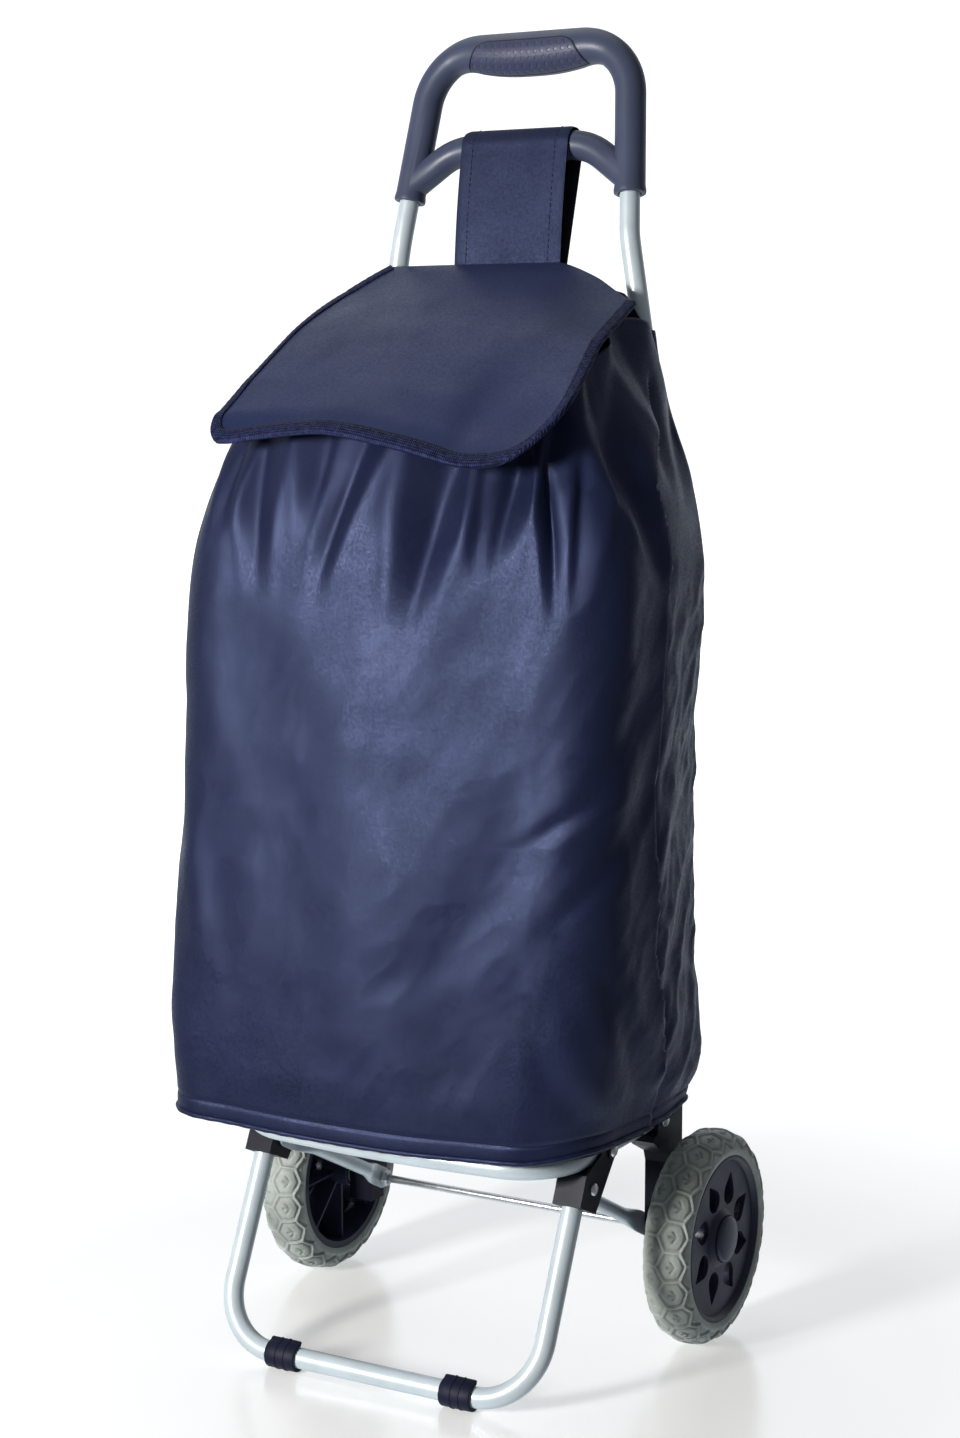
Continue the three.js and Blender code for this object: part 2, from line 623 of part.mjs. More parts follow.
// ---- strap: a wide loop over the handle's lower bar, sewn to the bag's back --
const barCentre = [crossY(883.2), 883.2];
const overBar = (radius) => Array.from({ length: 9 }, (_, i) => {
  const a = Math.PI * (1 - i / 8);
  return [barCentre[0] + radius * Math.cos(a), barCentre[1] + radius * Math.sin(a)];
});
const strapOutline = [
  [-12.4, 797.6], ...overBar(13.6), [-3.6, 770],
  [-5.6, 770], ...overBar(11.6).reverse(), [-10.4, 797.6],
];
add('bag_strap', acrossX(strapOutline, -44.5, 44.5), fabric);

// ---- loops that hold the bag's back to the uprights ---------------------------
const uprightAt = (z) => {
  const t = Math.max(0, (z - UPRIGHT_FLARE_Z) / (NECK[2] - UPRIGHT_FLARE_Z));
  return [THREE.MathUtils.lerp(RAIL_X, NECK[0], t), NECK[1] * t];
};
function uprightLoop(z0, z1, reach) {
  const arc = (radius, from, to) => Array.from({ length: 11 }, (_, i) => {
    const a = THREE.MathUtils.degToRad(from + ((to - from) * i) / 10);
    return [radius * Math.cos(a), centre[1] + radius * Math.sin(a)];
  });
  const centre = uprightAt((z0 + z1) / 2);
  const back = BAG_BACK + GAP;
  const points = [
    [reach, back], [reach, back + 1.4], ...arc(9.3, -42, 222), [-16, back + 1.4], [-16, back],
    [-6.9, back], ...arc(7.9, 228, -48), [6.9, back],
  ];
  const geometry = upZ(points, z0, z1);
  const position = geometry.attributes.position;
  for (let i = 0; i < position.count; i++) {
    position.setX(i, position.getX(i) + uprightAt(position.getZ(i))[0]);
  }
  return geometry;
}
addPair('loop_upper', uprightLoop(726, 748, 12), fabric);
addPair('loop_lower', uprightLoop(385, 435, 18), darkFabric);

// the object stands centred on the origin, from the front of its clips to its wheels' backs
trolley.position.y = (CLIP_R - foot[0] - WHEEL_R) / 2;

export default trolley;
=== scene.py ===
import json
import math

import bpy
import numpy as np
from mathutils import Matrix, Vector, noise
from mathutils.geometry import delaunay_2d_cdt

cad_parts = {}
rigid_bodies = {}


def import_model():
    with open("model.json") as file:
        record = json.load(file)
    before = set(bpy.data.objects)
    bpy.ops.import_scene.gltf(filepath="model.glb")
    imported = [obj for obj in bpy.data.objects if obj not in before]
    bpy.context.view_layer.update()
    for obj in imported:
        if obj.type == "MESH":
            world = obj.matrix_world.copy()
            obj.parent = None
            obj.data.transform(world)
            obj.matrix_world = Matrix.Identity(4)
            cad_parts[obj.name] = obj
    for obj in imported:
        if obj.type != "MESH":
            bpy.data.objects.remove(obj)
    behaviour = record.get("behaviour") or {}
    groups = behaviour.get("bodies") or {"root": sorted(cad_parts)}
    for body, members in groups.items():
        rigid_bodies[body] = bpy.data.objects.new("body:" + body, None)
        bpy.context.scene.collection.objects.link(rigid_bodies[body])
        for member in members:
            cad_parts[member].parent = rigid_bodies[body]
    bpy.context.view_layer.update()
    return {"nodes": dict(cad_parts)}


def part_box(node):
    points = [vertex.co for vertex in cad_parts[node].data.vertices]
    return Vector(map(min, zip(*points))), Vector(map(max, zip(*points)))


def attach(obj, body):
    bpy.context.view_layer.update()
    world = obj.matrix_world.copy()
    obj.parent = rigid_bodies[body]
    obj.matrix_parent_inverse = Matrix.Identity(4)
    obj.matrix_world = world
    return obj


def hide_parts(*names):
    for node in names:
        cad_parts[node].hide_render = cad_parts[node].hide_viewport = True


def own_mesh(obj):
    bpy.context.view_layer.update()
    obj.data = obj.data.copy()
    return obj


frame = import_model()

# Lengths are millimetres with the axle at y = 0, as the part is drawn; put() turns them into
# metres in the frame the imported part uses.
AXLE_Y = 500 * (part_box("axle")[0].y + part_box("axle")[1].y)
WHEEL_R = 80
RAIL_X = 131
TUBE_R = 7.5
PIVOT_REAR = (-20, 170)
PIVOT_FRONT = (-106.5, 170)
PIVOT_BRACE = (-135, 149.3)
PIVOT_AXLE = (0, WHEEL_R)
LEG_X = 130
LEG_EXIT = (-146, 137)
LEG_LEAN = math.radians(25)
FOOT_Z = 10.5
NECK = Vector((96, 1.6, 816))
SOCKET = Vector((93, 7.7, 845.6))
HANDLE_TOP_Z = 957.5
HANDLE_R = 11.4
BAG_BACK = -8.4
BAG_LOW = 178
RAIL_TOP = 604
CROSS_Z = 330
BAR_Z = 883.2
GRIP_REACH = 68


def put(points):
    p = np.asarray(points, float).reshape(-1, 3)
    return (p + (0, AXLE_Y, 0)) / 1000


def smoothstep(t, a=0.0, b=1.0):
    t = np.clip((np.asarray(t, float) - a) / (b - a), 0, 1)
    return t * t * (3 - 2 * t)


def mix(a, b, t):
    return a + (b - a) * t


def whole_turn(count):
    """Angles of count equal steps round a circle."""
    return np.linspace(0, 2 * math.pi, count, endpoint=False)


# ---- materials ------------------------------------------------------------------------


class Finish:
    """A procedural material, built node by node."""

    def __init__(self, name, **sockets):
        self.material = bpy.data.materials.new(name)
        self.material.use_nodes = True
        self.tree = self.material.node_tree
        self.surface = self.tree.nodes["Principled BSDF"]
        for key, value in sockets.items():
            self.surface.inputs[key.replace("_", " ")].default_value = value
        coords = self.tree.nodes.new("ShaderNodeTexCoord")
        self.place = coords.outputs["Object"]
        self.split = None

    def node(self, kind, inputs=(), **settings):
        made = self.tree.nodes.new("ShaderNode" + kind)
        for key, value in settings.items():
            setattr(made, key, value)
        for key, value in dict(inputs).items():
            if isinstance(value, bpy.types.NodeSocket):
                self.tree.links.new(value, made.inputs[key])
            else:
                made.inputs[key].default_value = value
        return made

    def maths(self, operation, a, b=0.0):
        return self.node("Math", {0: a, 1: b}, operation=operation).outputs[0]

    def axis(self, name):
        if self.split is None:
            self.split = self.node("SeparateXYZ", {0: self.place})
        return self.split.outputs[name]

    def noise(self, scale, detail=2.0, rough=0.5, place=None):
        made = self.node(
            "TexNoise",
            {"Vector": place or self.place, "Scale": scale, "Detail": detail, "Roughness": rough},
        )
        return made.outputs["Fac"]

    def spread(self, value, low, high, source=(0.3, 0.7)):
        made = self.node(
            "MapRange", {0: value, 1: source[0], 2: source[1], 3: low, 4: high}
        )
        return made.outputs[0]

    def colour(self, value, *stops):
        ramp = self.node("ValToRGB", {0: value})
        elements = ramp.color_ramp.elements
        while len(elements) < len(stops):
            elements.new(0.5)
        for element, (at, tint) in zip(elements, stops):
            element.position, element.color = at, (*tint, 1)
        self.tree.links.new(ramp.outputs["Color"], self.surface.inputs["Base Color"])
        return ramp.outputs["Color"]

    def rough(self, value):
        self.tree.links.new(value, self.surface.inputs["Roughness"])

    def bump(self, height, strength=0.3, distance=0.0005, under=None):
        inputs = {"Height": height, "Strength": strength, "Distance": distance}
        if under is not None:
            inputs["Normal"] = under
        made = self.node("Bump", inputs)
        self.tree.links.new(made.outputs["Normal"], self.surface.inputs["Normal"])
        return made.outputs["Normal"]


def srgb(r, g, b):
    return tuple(
        (c / 255 / 12.92) if c <= 10 else ((c / 255 + 0.055) / 1.055) ** 2.4 for c in (r, g, b)
    )


def shade(colour, by):
    return tuple(min(1.0, c * by) for c in colour)


def paint():
    f = Finish("silver_paint", Metallic=0.15, Coat_Weight=0.2, Coat_Roughness=0.25)
    base = srgb(221, 232, 236)
    cloud = f.noise(38, 3)
    f.colour(cloud, (0.3, shade(base, 0.92)), (0.7, shade(base, 1.05)))
    f.rough(f.spread(f.noise(90, 3), 0.3, 0.38))
    flake = f.noise(5200, 1)
    f.bump(flake, 0.05, 0.0002)
    return f.material


def moulded(name, base, rough, grain=0.12, scale=1900, level=0.45, relief=False):
    f = Finish(name, Specular_IOR_Level=level)
    tone = f.noise(26, 4)
    if relief:  # painted shade: dark where the surface is cut in
        cut = f.node("Attribute", attribute_name="relief").outputs["Fac"]
        tone = f.maths("ADD", tone, cut)
        f.colour(tone, (0.0, shade(base, 0.06)), (0.3, shade(base, 0.9)), (0.7, shade(base, 1.1)))
    else:
        f.colour(tone, (0.3, shade(base, 0.9)), (0.7, shade(base, 1.1)))
    f.rough(f.spread(f.noise(60, 3), rough - 0.04, rough + 0.05))
    f.bump(f.noise(scale, 2), grain, 0.0004)
    return f.material


def steel():
    f = Finish("bright_steel", Metallic=0.8)
    f.colour(f.noise(120, 3), (0.3, (0.74, 0.76, 0.78)), (0.7, (0.86, 0.87, 0.89)))
    f.rough(f.spread(f.noise(300, 3), 0.26, 0.34))
    f.bump(f.noise(900, 2), 0.02, 0.0002)
    return f.material


def rubber():
    f = Finish("tyre_rubber", Specular_IOR_Level=0.35, Sheen_Weight=0.1)
    base = srgb(178, 183, 175)
    # the ridges are paler and the grooves darker, by relief: painted shade in the grooves
    relief = f.node("Attribute", attribute_name="relief").outputs["Fac"]
    pale_ridges_shaded_grooves = f.spread(relief, -0.16, 0.12, (-2.2, 0.2))
    tone = f.maths("ADD", pale_ridges_shaded_grooves, f.noise(45, 5, 0.6))
    f.colour(tone, (0.25, shade(base, 0.62)), (0.5, base), (0.72, shade(base, 1.25)))
    f.rough(f.spread(f.noise(70, 4), 0.5, 0.68))
    f.bump(f.noise(1500, 3), 0.25, 0.0004)
    return f.material


def cloth(name, base, thread=0.9, across="wall", rough=0.46, tint=(0.47, 0.56, 1.0)):
    """Plain-woven coated fabric. across says which way its threads run."""
    f = Finish(
        name,
        Specular_IOR_Level=0.7,
        Specular_Tint=(*tint, 1),
        Sheen_Weight=0.03,
        Sheen_Roughness=0.35,
        Sheen_Tint=(0.45, 0.52, 0.95, 1),
    )
    turn = 2 * math.pi / (thread / 1000)
    if across == "wall":  # round the bag, and up it
        u = f.maths("ADD", f.maths("ABSOLUTE", f.axis("X")), f.axis("Y"))
        v = f.axis("Z")
    elif across == "lid":
        u, v = f.axis("X"), f.maths("SUBTRACT", f.axis("Y"), f.axis("Z"))
    else:
        u, v = f.axis("X"), f.axis("Z")
    warp = f.maths("SINE", f.maths("MULTIPLY", u, turn))
    weft = f.maths("SINE", f.maths("MULTIPLY", v, turn))
    weave = f.maths("MULTIPLY", warp, weft)
    slub = f.noise(420, 3)
    cloudy = f.noise(14, 4, 0.55)
    tone = f.maths("ADD", f.maths("MULTIPLY", weave, 0.05), cloudy)
    f.colour(tone, (0.25, shade(base, 0.82)), (0.5, base), (0.75, shade(base, 1.2)))
    f.rough(f.maths("ADD", f.spread(f.noise(30, 4), rough - 0.06, rough + 0.05),
                    f.spread(f.noise(520, 2), -0.09, 0.09, (0.3, 0.7))))
    crease = f.bump(f.noise(120, 4, 0.55), 0.05, 0.0012)
    f.bump(f.maths("ADD", weave, slub), 0.5, 0.00006, under=crease)
    return f.material


def ribbed_tape():
    f = Finish("binding_tape", Specular_IOR_Level=0.15, Sheen_Weight=0.02, Sheen_Roughness=0.4)
    base = srgb(26, 31, 60)
    turn = 2 * math.pi / 0.003
    a = f.maths("SINE", f.maths("MULTIPLY", f.maths("ADD", f.axis("X"), f.axis("Y")), turn))
    b = f.maths("SINE", f.maths("MULTIPLY", f.maths("SUBTRACT", f.axis("X"), f.axis("Y")), turn))
    rib = f.maths("MULTIPLY", a, b)
    f.colour(f.maths("ADD", f.maths("MULTIPLY", rib, 0.38), f.noise(300, 3)),
             (0.25, shade(base, 0.4)), (0.55, base), (0.8, shade(base, 3.4)))
    f.rough(f.spread(f.noise(200, 3), 0.55, 0.7))
    f.bump(rib, 0.7, 0.0003)
    return f.material


NAVY = srgb(22, 27, 53)
PAINT = paint()
STEEL = steel()
HANDLE = moulded("handle_plastic", srgb(72, 78, 101), 0.4)
# the grip's dimples are painted dark: painted shade in their hollows
GRIP = moulded("grip_plastic", srgb(64, 67, 95), 0.46, 0.3, 1300, relief=True)
BRACKET = moulded("bracket_plastic", srgb(18, 18, 33), 0.42, level=0.22)
HUB = moulded("hub_plastic", srgb(50, 53, 74), 0.4, 0.1)
CLIP = moulded("clip_plastic", srgb(26, 29, 50), 0.55, level=0.25)
# the cap is a lighter copy of the hub's plastic: a painted reflection of the pale backdrop
CAP_PAINTED_REFLECTION = moulded("cap_painted_reflection", srgb(74, 78, 94), 0.36, 0.1)
# near-black for the tube round the grip insert: painted shadow of its groove
GROOVE_SHADOW = moulded("seam_shadow", srgb(14, 15, 27), 0.6)
RUBBER = rubber()
FABRIC = cloth("bag_fabric", NAVY)
# the lid is a lighter copy of the bag's fabric: painted light on its upward face
LID_FABRIC_PAINTED_LIGHT = cloth("lid_fabric_painted_light", srgb(29, 37, 70), across="lid")
STRAP_FABRIC = cloth("strap_fabric", srgb(24, 29, 52), across="flat", rough=0.6)
LINING = cloth("lining_fabric", srgb(17, 18, 26), rough=0.6, tint=(0.8, 0.8, 0.9))
WEBBING = cloth("loop_webbing", srgb(26, 27, 40), thread=1.6, across="flat", rough=0.6)
TAPE = ribbed_tape()
THREAD = moulded("sewing_thread", srgb(24, 27, 52), 0.6, 0.2, 3000)

# ---- meshes ---------------------------------------------------------------------------


def new_mesh(name, metres, faces):
    mesh = bpy.data.meshes.new(name)
    mesh.from_pydata(metres.tolist(), [], [list(map(int, f)) for f in faces])
    return mesh


def in_scene(name, data):
    made = bpy.data.objects.new(name, data)
    bpy.context.scene.collection.objects.link(made)
    return made


def piece(name, points, faces, material, body, replaces=(), slot=None, sharp=35):
    mesh = new_mesh(name, put(points), faces)
    mesh.validate()
    mesh.shade_smooth()
    if sharp:
        mesh.set_sharp_from_angle(angle=math.radians(sharp))
    for one in material if isinstance(material, (list, tuple)) else [material]:
        mesh.materials.append(one)
    made = in_scene(name, mesh)
    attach(made, body)
    if replaces:
        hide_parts(*([replaces] if isinstance(replaces, str) else replaces))
    return made


def flipped(points, faces):
    return np.asarray(points) * (-1, 1, 1), [tuple(reversed(f)) for f in faces]


def joined(*parts):
    points, faces, start = [], [], 0
    for p, f in parts:
        points.append(np.asarray(p, float))
        faces += [tuple(i + start for i in face) for face in f]
        start += len(p)
    return np.vstack(points), faces


def pair(name, shape, material, body, cad=None, slot=None, sharp=35):
    """A piece and its mirror image, on one body or on body_left and body_right."""
    made = []
    for side, (points, faces) in (("right", shape), ("left", flipped(*shape))):
        on = body.replace("*", side)
        replaces = [f"{n}_{side}" for n in ([cad] if isinstance(cad, str) else cad or [])]
        made.append(piece(f"{name}_{side}", points, faces, material, on, replaces, slot, sharp))
    return made


def rings(loops, closed=False, caps=True):
    """A skin over rings that all have the same number of points."""
    count, size = len(loops), len(loops[0])
    faces = []
    for i in range(count if closed else count - 1):
        a, b = i * size, (i + 1) % count * size
        faces += [(a + j, a + (j + 1) % size, b + (j + 1) % size, b + j) for j in range(size)]
    if caps and not closed:
        faces.append(tuple(reversed(range(size))))
        faces.append(tuple(range((count - 1) * size, count * size)))
    return np.vstack(loops), faces


def bent(corners, pace=4.0):
    """Straight runs joined by bends; each corner is (x, y, z, bend radius)."""
    at = [Vector(c[:3]) for c in corners]
    path = [(at[0], (at[1] - at[0]).normalized())]
    for i in range(1, len(at) - 1):
        into, out = (at[i] - at[i - 1]).normalized(), (at[i + 1] - at[i]).normalized()
        turn, radius = into.angle(out), corners[i][3]
        start = at[i] - into * radius * math.tan(turn / 2)
        side = (out - into * out.dot(into)).normalized()
        steps = max(4, round(turn * radius / pace))
        for k in range(steps + 1):
            a = turn * k / steps
            point = start + into * radius * math.sin(a) + side * radius * (1 - math.cos(a))
            path.append((point, into * math.cos(a) + side * math.sin(a)))
    path.append((at[-1], (at[-1] - at[-2]).normalized()))
    return path


def tube(corners, radius=TUBE_R, sides=28, path=None):
    """radius is a number, or one for each station of the path."""
    path = path or bent(corners)
    normal = path[0][1].orthogonal().normalized()
    loops = []
    for i, (point, tangent) in enumerate(path):
        normal = (normal - tangent * normal.dot(tangent)).normalized()
        across = tangent.cross(normal)
        r = radius if isinstance(radius, (int, float)) else radius[i]
        turn = whole_turn(sides)[:, None]
        ring = np.cos(turn) * np.array(normal) + np.sin(turn) * np.array(across)
        loops.append(np.array(point) + r * ring)
    return rings(loops)


def turned(profile, sides=48, centre=PIVOT_AXLE, closed=False):
    """A round solid about an axis along X, from (x, radius) pairs."""
    turn = whole_turn(sides)
    loops = []
    for x, r in profile:
        r = max(r, 0.02)
        loops.append(
            np.stack([np.full(sides, float(x)), centre[0] + r * np.cos(turn),
                      centre[1] + r * np.sin(turn)], 1)
        )
    return rings(loops, closed=closed, caps=not closed)


def on_arm(z):
    """The line of the uprights above their neck."""
    way = (SOCKET - NECK).normalized()
    return NECK + way * ((z - NECK.z) / way.z)


# ---- tubes ----------------------------------------------------------------------------

upright = tube([(RAIL_X, 0, 92), (RAIL_X, 0, RAIL_TOP, 160), (*NECK, 70), tuple(on_arm(905))])
pair("upright_tube", upright, PAINT, "frame", "upright", "tube_paint")
cross_half = RAIL_X - TUBE_R + 0.3
piece("cross_tube", *tube([(-cross_half, 0, CROSS_Z), (0, 0, CROSS_Z, 10),
                           (cross_half, 0, CROSS_Z)], 6.35), PAINT, "frame", "rear_crossbar", "tube_paint")

rear_y, arm_z = PIVOT_REAR[0] + 7, PIVOT_REAR[1]
platform = tube([
    (RAIL_X, rear_y, arm_z), (RAIL_X, -179, arm_z, 45), (0, -189, arm_z, 600),
    (-RAIL_X, -179, arm_z, 45), (-RAIL_X, rear_y, arm_z),
])
piece("platform_tube", *platform, PAINT, "platform", "platform_frame", "tube_paint")


def leg_at(down):
    return LEG_EXIT[0] - down * math.sin(LEG_LEAN), LEG_EXIT[1] - down * math.cos(LEG_LEAN)


foot = leg_at((LEG_EXIT[1] - FOOT_Z) / math.cos(LEG_LEAN))
leg = tube([
    (LEG_X, *leg_at(-24)), (LEG_X, *foot, 46), (-LEG_X, *foot, 46), (-LEG_X, *leg_at(-24)),
])
piece("leg_tube", *leg, PAINT, "leg", "leg_frame", "tube_paint")


def brace():
    """A tube whose ends are pressed flat and drilled."""
    span = math.hypot(PIVOT_BRACE[0], PIVOT_BRACE[1] - WHEEL_R)
    angle = math.atan2(PIVOT_BRACE[1] - WHEEL_R, -PIVOT_BRACE[0])
    end = 9
    long = span + 2 * end
    turn = whole_turn(28)
    ends = list(np.linspace(0, 9, 7)) + list(np.linspace(12, 52, 16))
    loops = []
    for at in ends + [long - e for e in reversed(ends)]:
        near = min(at, long - at)
        full = float(smoothstep(near, 21, 46))
        tip = math.sqrt(max(0.03, 1 - max(0.0, (8 - near) / 8.6) ** 2))
        wide, thick = mix(8.3, 5.5, full) * tip, mix(1.3, 5.5, full)
        flat = np.sign(np.cos(turn)) * np.abs(np.cos(turn)) ** mix(0.35, 1, full)
        along = -(at - end)
        x = mix(116.8, 112.4, full) + flat * thick
        w = np.sin(turn) * wide
        y = along * math.cos(angle) + w * math.sin(angle)
        z = WHEEL_R - along * math.sin(angle) + w * math.cos(angle)
        loops.append(np.stack([x, y, z], 1))
    points, faces = rings(loops)
    return points, [tuple(reversed(f)) for f in faces]


pair("brace_tube", brace(), PAINT, "braces", "brace", "tube_paint")

# ---- handle ---------------------------------------------------------------------------

top_y = on_arm(HANDLE_TOP_Z).y
BELLY = 5.0


def grip_radius(x):
    reach = np.clip(np.abs(np.asarray(x, float)) / GRIP_REACH, 0, 1)
    return HANDLE_R + BELLY * (1 - reach**2.6) ** 1.4


def loop_path():
    low, corner = on_arm(SOCKET.z), on_arm(HANDLE_TOP_Z)
    other = Vector((-corner.x, corner.y, corner.z))
    full = bent([tuple(low), (*corner, 44), (*other, 44), (-low.x, low.y, low.z)], 2.5)
    # the straight top run gets stations of its own, so that it can swell downwards
    level = [i for i, (p, t) in enumerate(full) if t.x < -0.99999]
    first = full[level[0]][0].x
    top = [(Vector((mix(first, -first, k / 56), top_y, HANDLE_TOP_Z)), Vector((-1, 0, 0)))
           for k in range(57)]
    stations = full[:level[0]] + top + full[level[-1] + 1:]
    path, radius = [], []
    for point, way in stations:
        r = HANDLE_R
        if abs(point.x) < GRIP_REACH and point.z > 940:
            r = float(grip_radius(point.x))
            point = Vector((point.x, point.y, point.z - (r - HANDLE_R)))
        path.append((point, way))
        radius.append(r)
    # a rounded lip at each lower end, and the hollow the tube goes up into
    def lip(point, way):
        ways = [(9.0, 8.1), (1.2, 8.1), (0.2, 8.6), (0.0, 9.4), (0.0, 11.0), (0.6, 11.8),
                (2.4, 12.0), (4.0, 11.8), (6.5, HANDLE_R)]
        return [(point + way * s, way) for s, _ in ways], [r for _, r in ways]

    (p0, t0), (p1, t1) = path[0], path[-1]
    start, start_r = lip(p0, t0)
    finish, finish_r = lip(p1, -t1)
    finish = [(p, -t) for p, t in reversed(finish)]
    path = start + path[1:-1] + finish
    return path, start_r + radius[1:-1] + list(reversed(finish_r))


path, radius = loop_path()
loop_shape = tube(None, radius, 44, path)
bar_low, bar_high = on_arm(857), on_arm(BAR_Z)
bar_shape = tube([
    (bar_low.x, bar_low.y, bar_low.z), (56, bar_high.y, BAR_Z, 46),
    (-56, bar_high.y, BAR_Z, 46), (-bar_low.x, bar_low.y, bar_low.z),
], 10.8, 40)


def unite(target, name, points, faces):
    """Joins a closed shape onto a piece."""
    tool = in_scene(name, new_mesh(name, put(points), faces))
    change = target.modifiers.new("boolean", "BOOLEAN")
    change.operation, change.solver, change.object = "UNION", "EXACT", tool
    dg = bpy.context.evaluated_depsgraph_get()
    mesh = bpy.data.meshes.new_from_object(target.evaluated_get(dg))
    target.modifiers.clear()
    target.data = mesh
    bpy.data.objects.remove(tool)


# the soft insert's outline on the grip: half widths, and angles above the level
GRIP_LOW, GRIP_HIGH = (50, math.radians(-72)), (38, math.radians(34))


handle = piece("handle_body", *loop_shape, HANDLE, "frame", "handle_moulding", "handle_plastic")
unite(handle, "bar_tool", *bar_shape)
handle.data.shade_smooth()
handle.data.set_sharp_from_angle(angle=math.radians(38))
handle.data.materials.clear()
handle.data.materials.append(HANDLE)


def on_grip(x, angle, lift=0.0):
    """Points on the swollen grip, by place along it and angle above the level in front."""
    x, r = np.asarray(x, float), grip_radius(x)
    centre = HANDLE_TOP_Z + HANDLE_R - r
    return np.stack([x, top_y - (r + lift) * np.cos(angle), centre + (r + lift) * np.sin(angle)], 1)


def grip_half(v):
    """Half the insert's width, v of the way from its lower edge to its upper one."""
    v = np.asarray(v, float)
    return mix(GRIP_LOW[0], GRIP_HIGH[0], v**1.3) - 7.0 * np.clip((v - 0.7) / 0.3, 0, 1) ** 3


def grip_insert():
    """A thin patch of the grip's surface, sown with small round dimples."""
    cols, rows, tall = 420, 112, 29.0
    spots = []
    for j in range(5):
        v = 0.15 + 0.175 * j
        half = float(grip_half(v)) - 4.0
        count = 15 if j < 4 else 13
        spots += [(-half + 2 * half * i / (count - 1), v * tall) for i in range(count)]
    u, v = np.meshgrid(np.linspace(-1, 1, cols), np.linspace(0, 1, rows))
    u, v = u.ravel(), v.ravel()
    half = grip_half(v)
    x = u * half
    angle = mix(GRIP_LOW[1], GRIP_HIGH[1], v)
    near = np.full(len(x), 1e9)
    for sx, sv in spots:
        near = np.minimum(near, np.hypot(x - sx, v * tall - sv))
    edge = np.minimum.reduce([(1 - np.abs(u)) * half, v * tall, (1 - v) * tall])
    hollow = 1 - smoothstep(near, 0.8, 1.6)
    lift = 0.3 - 1.0 * (1 - smoothstep(edge, 0, 0.9)) - 1.3 * hollow
    front, back = on_grip(x, angle, lift), on_grip(x, angle, -2.4)
    n = cols * rows
    faces = []
    for j in range(rows - 1):
        for i in range(cols - 1):
            a = j * cols + i
            faces.append((a, a + 1, a + cols + 1, a + cols))
            faces.append((n + a, n + a + cols, n + a + cols + 1, n + a + 1))
    border = ([i for i in range(cols)] + [j * cols + cols - 1 for j in range(1, rows)]
              + [(rows - 1) * cols + i for i in range(cols - 2, -1, -1)]
              + [j * cols for j in range(rows - 2, 0, -1)])
    for k, a in enumerate(border):
        b = border[(k + 1) % len(border)]
        faces.append((b, a, n + a, n + b))
    return np.vstack([front, back]), faces, np.concatenate([-hollow, np.zeros(n)])


def grip_groove_shadow():
    """A dark tube in the joint round the insert: painted shadow of its groove."""
    v = np.linspace(0, 1, 40)
    side = grip_half(v)
    across = np.linspace(-1, 1, 60)[1:-1]
    x = np.concatenate([-across * side[0], -side, across * side[-1], side[::-1]])
    v = np.concatenate([np.zeros(58), v, np.ones(58), v[::-1]])
    line = on_grip(x, mix(GRIP_LOW[1], GRIP_HIGH[1], v), 0.0)
    ways = np.roll(line, -1, 0) - np.roll(line, 1, 0)
    out = line - np.stack([line[:, 0], np.full(len(line), top_y), HANDLE_TOP_Z + HANDLE_R
                           - grip_radius(line[:, 0])], 1)
    out /= np.linalg.norm(out, axis=1)[:, None]
    loops = []
    for p, w, n in zip(line, ways, out):
        w = w / np.linalg.norm(w)
        side = np.cross(w, n)
        turn = whole_turn(8)[:, None]
        loops.append(p + 0.6 * (np.cos(turn) * side + 0.6 * np.sin(turn) * n))
    return rings(loops, closed=True)


grip_points, grip_faces, grip_relief = grip_insert()
insert = piece("grip_insert", grip_points, grip_faces, GRIP, "frame", "handle_grip",
               "grip_plastic", sharp=60)
insert.data.attributes.new("relief", "FLOAT", "POINT").data.foreach_set("value", grip_relief)
piece("grip_groove_shadow", *grip_groove_shadow(), GROOVE_SHADOW, "frame", slot="grip_plastic", sharp=60)

# ---- brackets, clips, rivets ------------------------------------------------------------

for node in ("rear_bracket", "leg_bracket"):
    for side in ("left", "right"):
        cad = frame["nodes"][f"{node}_{side}"]
        cad.data.materials.clear()
        cad.data.materials.append(BRACKET)
        edge = cad.modifiers.new("soft_edges", "BEVEL")
        edge.width, edge.segments, edge.limit_method = 0.0009, 3, "ANGLE"
        edge.angle_limit = math.radians(40)
        edge.use_clamp_overlap = True
        edge.harden_normals = True


def dome(x0, height, radius, step=7):
    """The outline of a domed rivet head that stands on x0."""
    return [(x0 + height * math.sin(a), radius * math.cos(a) ** 0.75 if a < 1.57 else 0)
            for a in np.linspace(0, math.pi / 2, step)]


def rivet(x0, x1, head, dome_in, dome_out, shank=2.5):
    profile = []
    if dome_in:
        profile += [(x, r) for x, r in reversed(dome(x0, -dome_in, head))] + [(x0, shank)]
    else:
        profile += [(x0, 0), (x0, shank)]
    if dome_out:
        profile += [(x1, shank), (x1, head)] + dome(x1, dome_out, head)[1:]
    else:
        profile += [(x1, shank), (x1, 0)]
    return profile


def flat_ring(x0, x1, inner, outer, soft=0.25):
    return [(x0, inner), (x0, outer - soft), (x0 + soft, outer), (x1 - soft, outer),
            (x1, outer - soft), (x1, inner)]


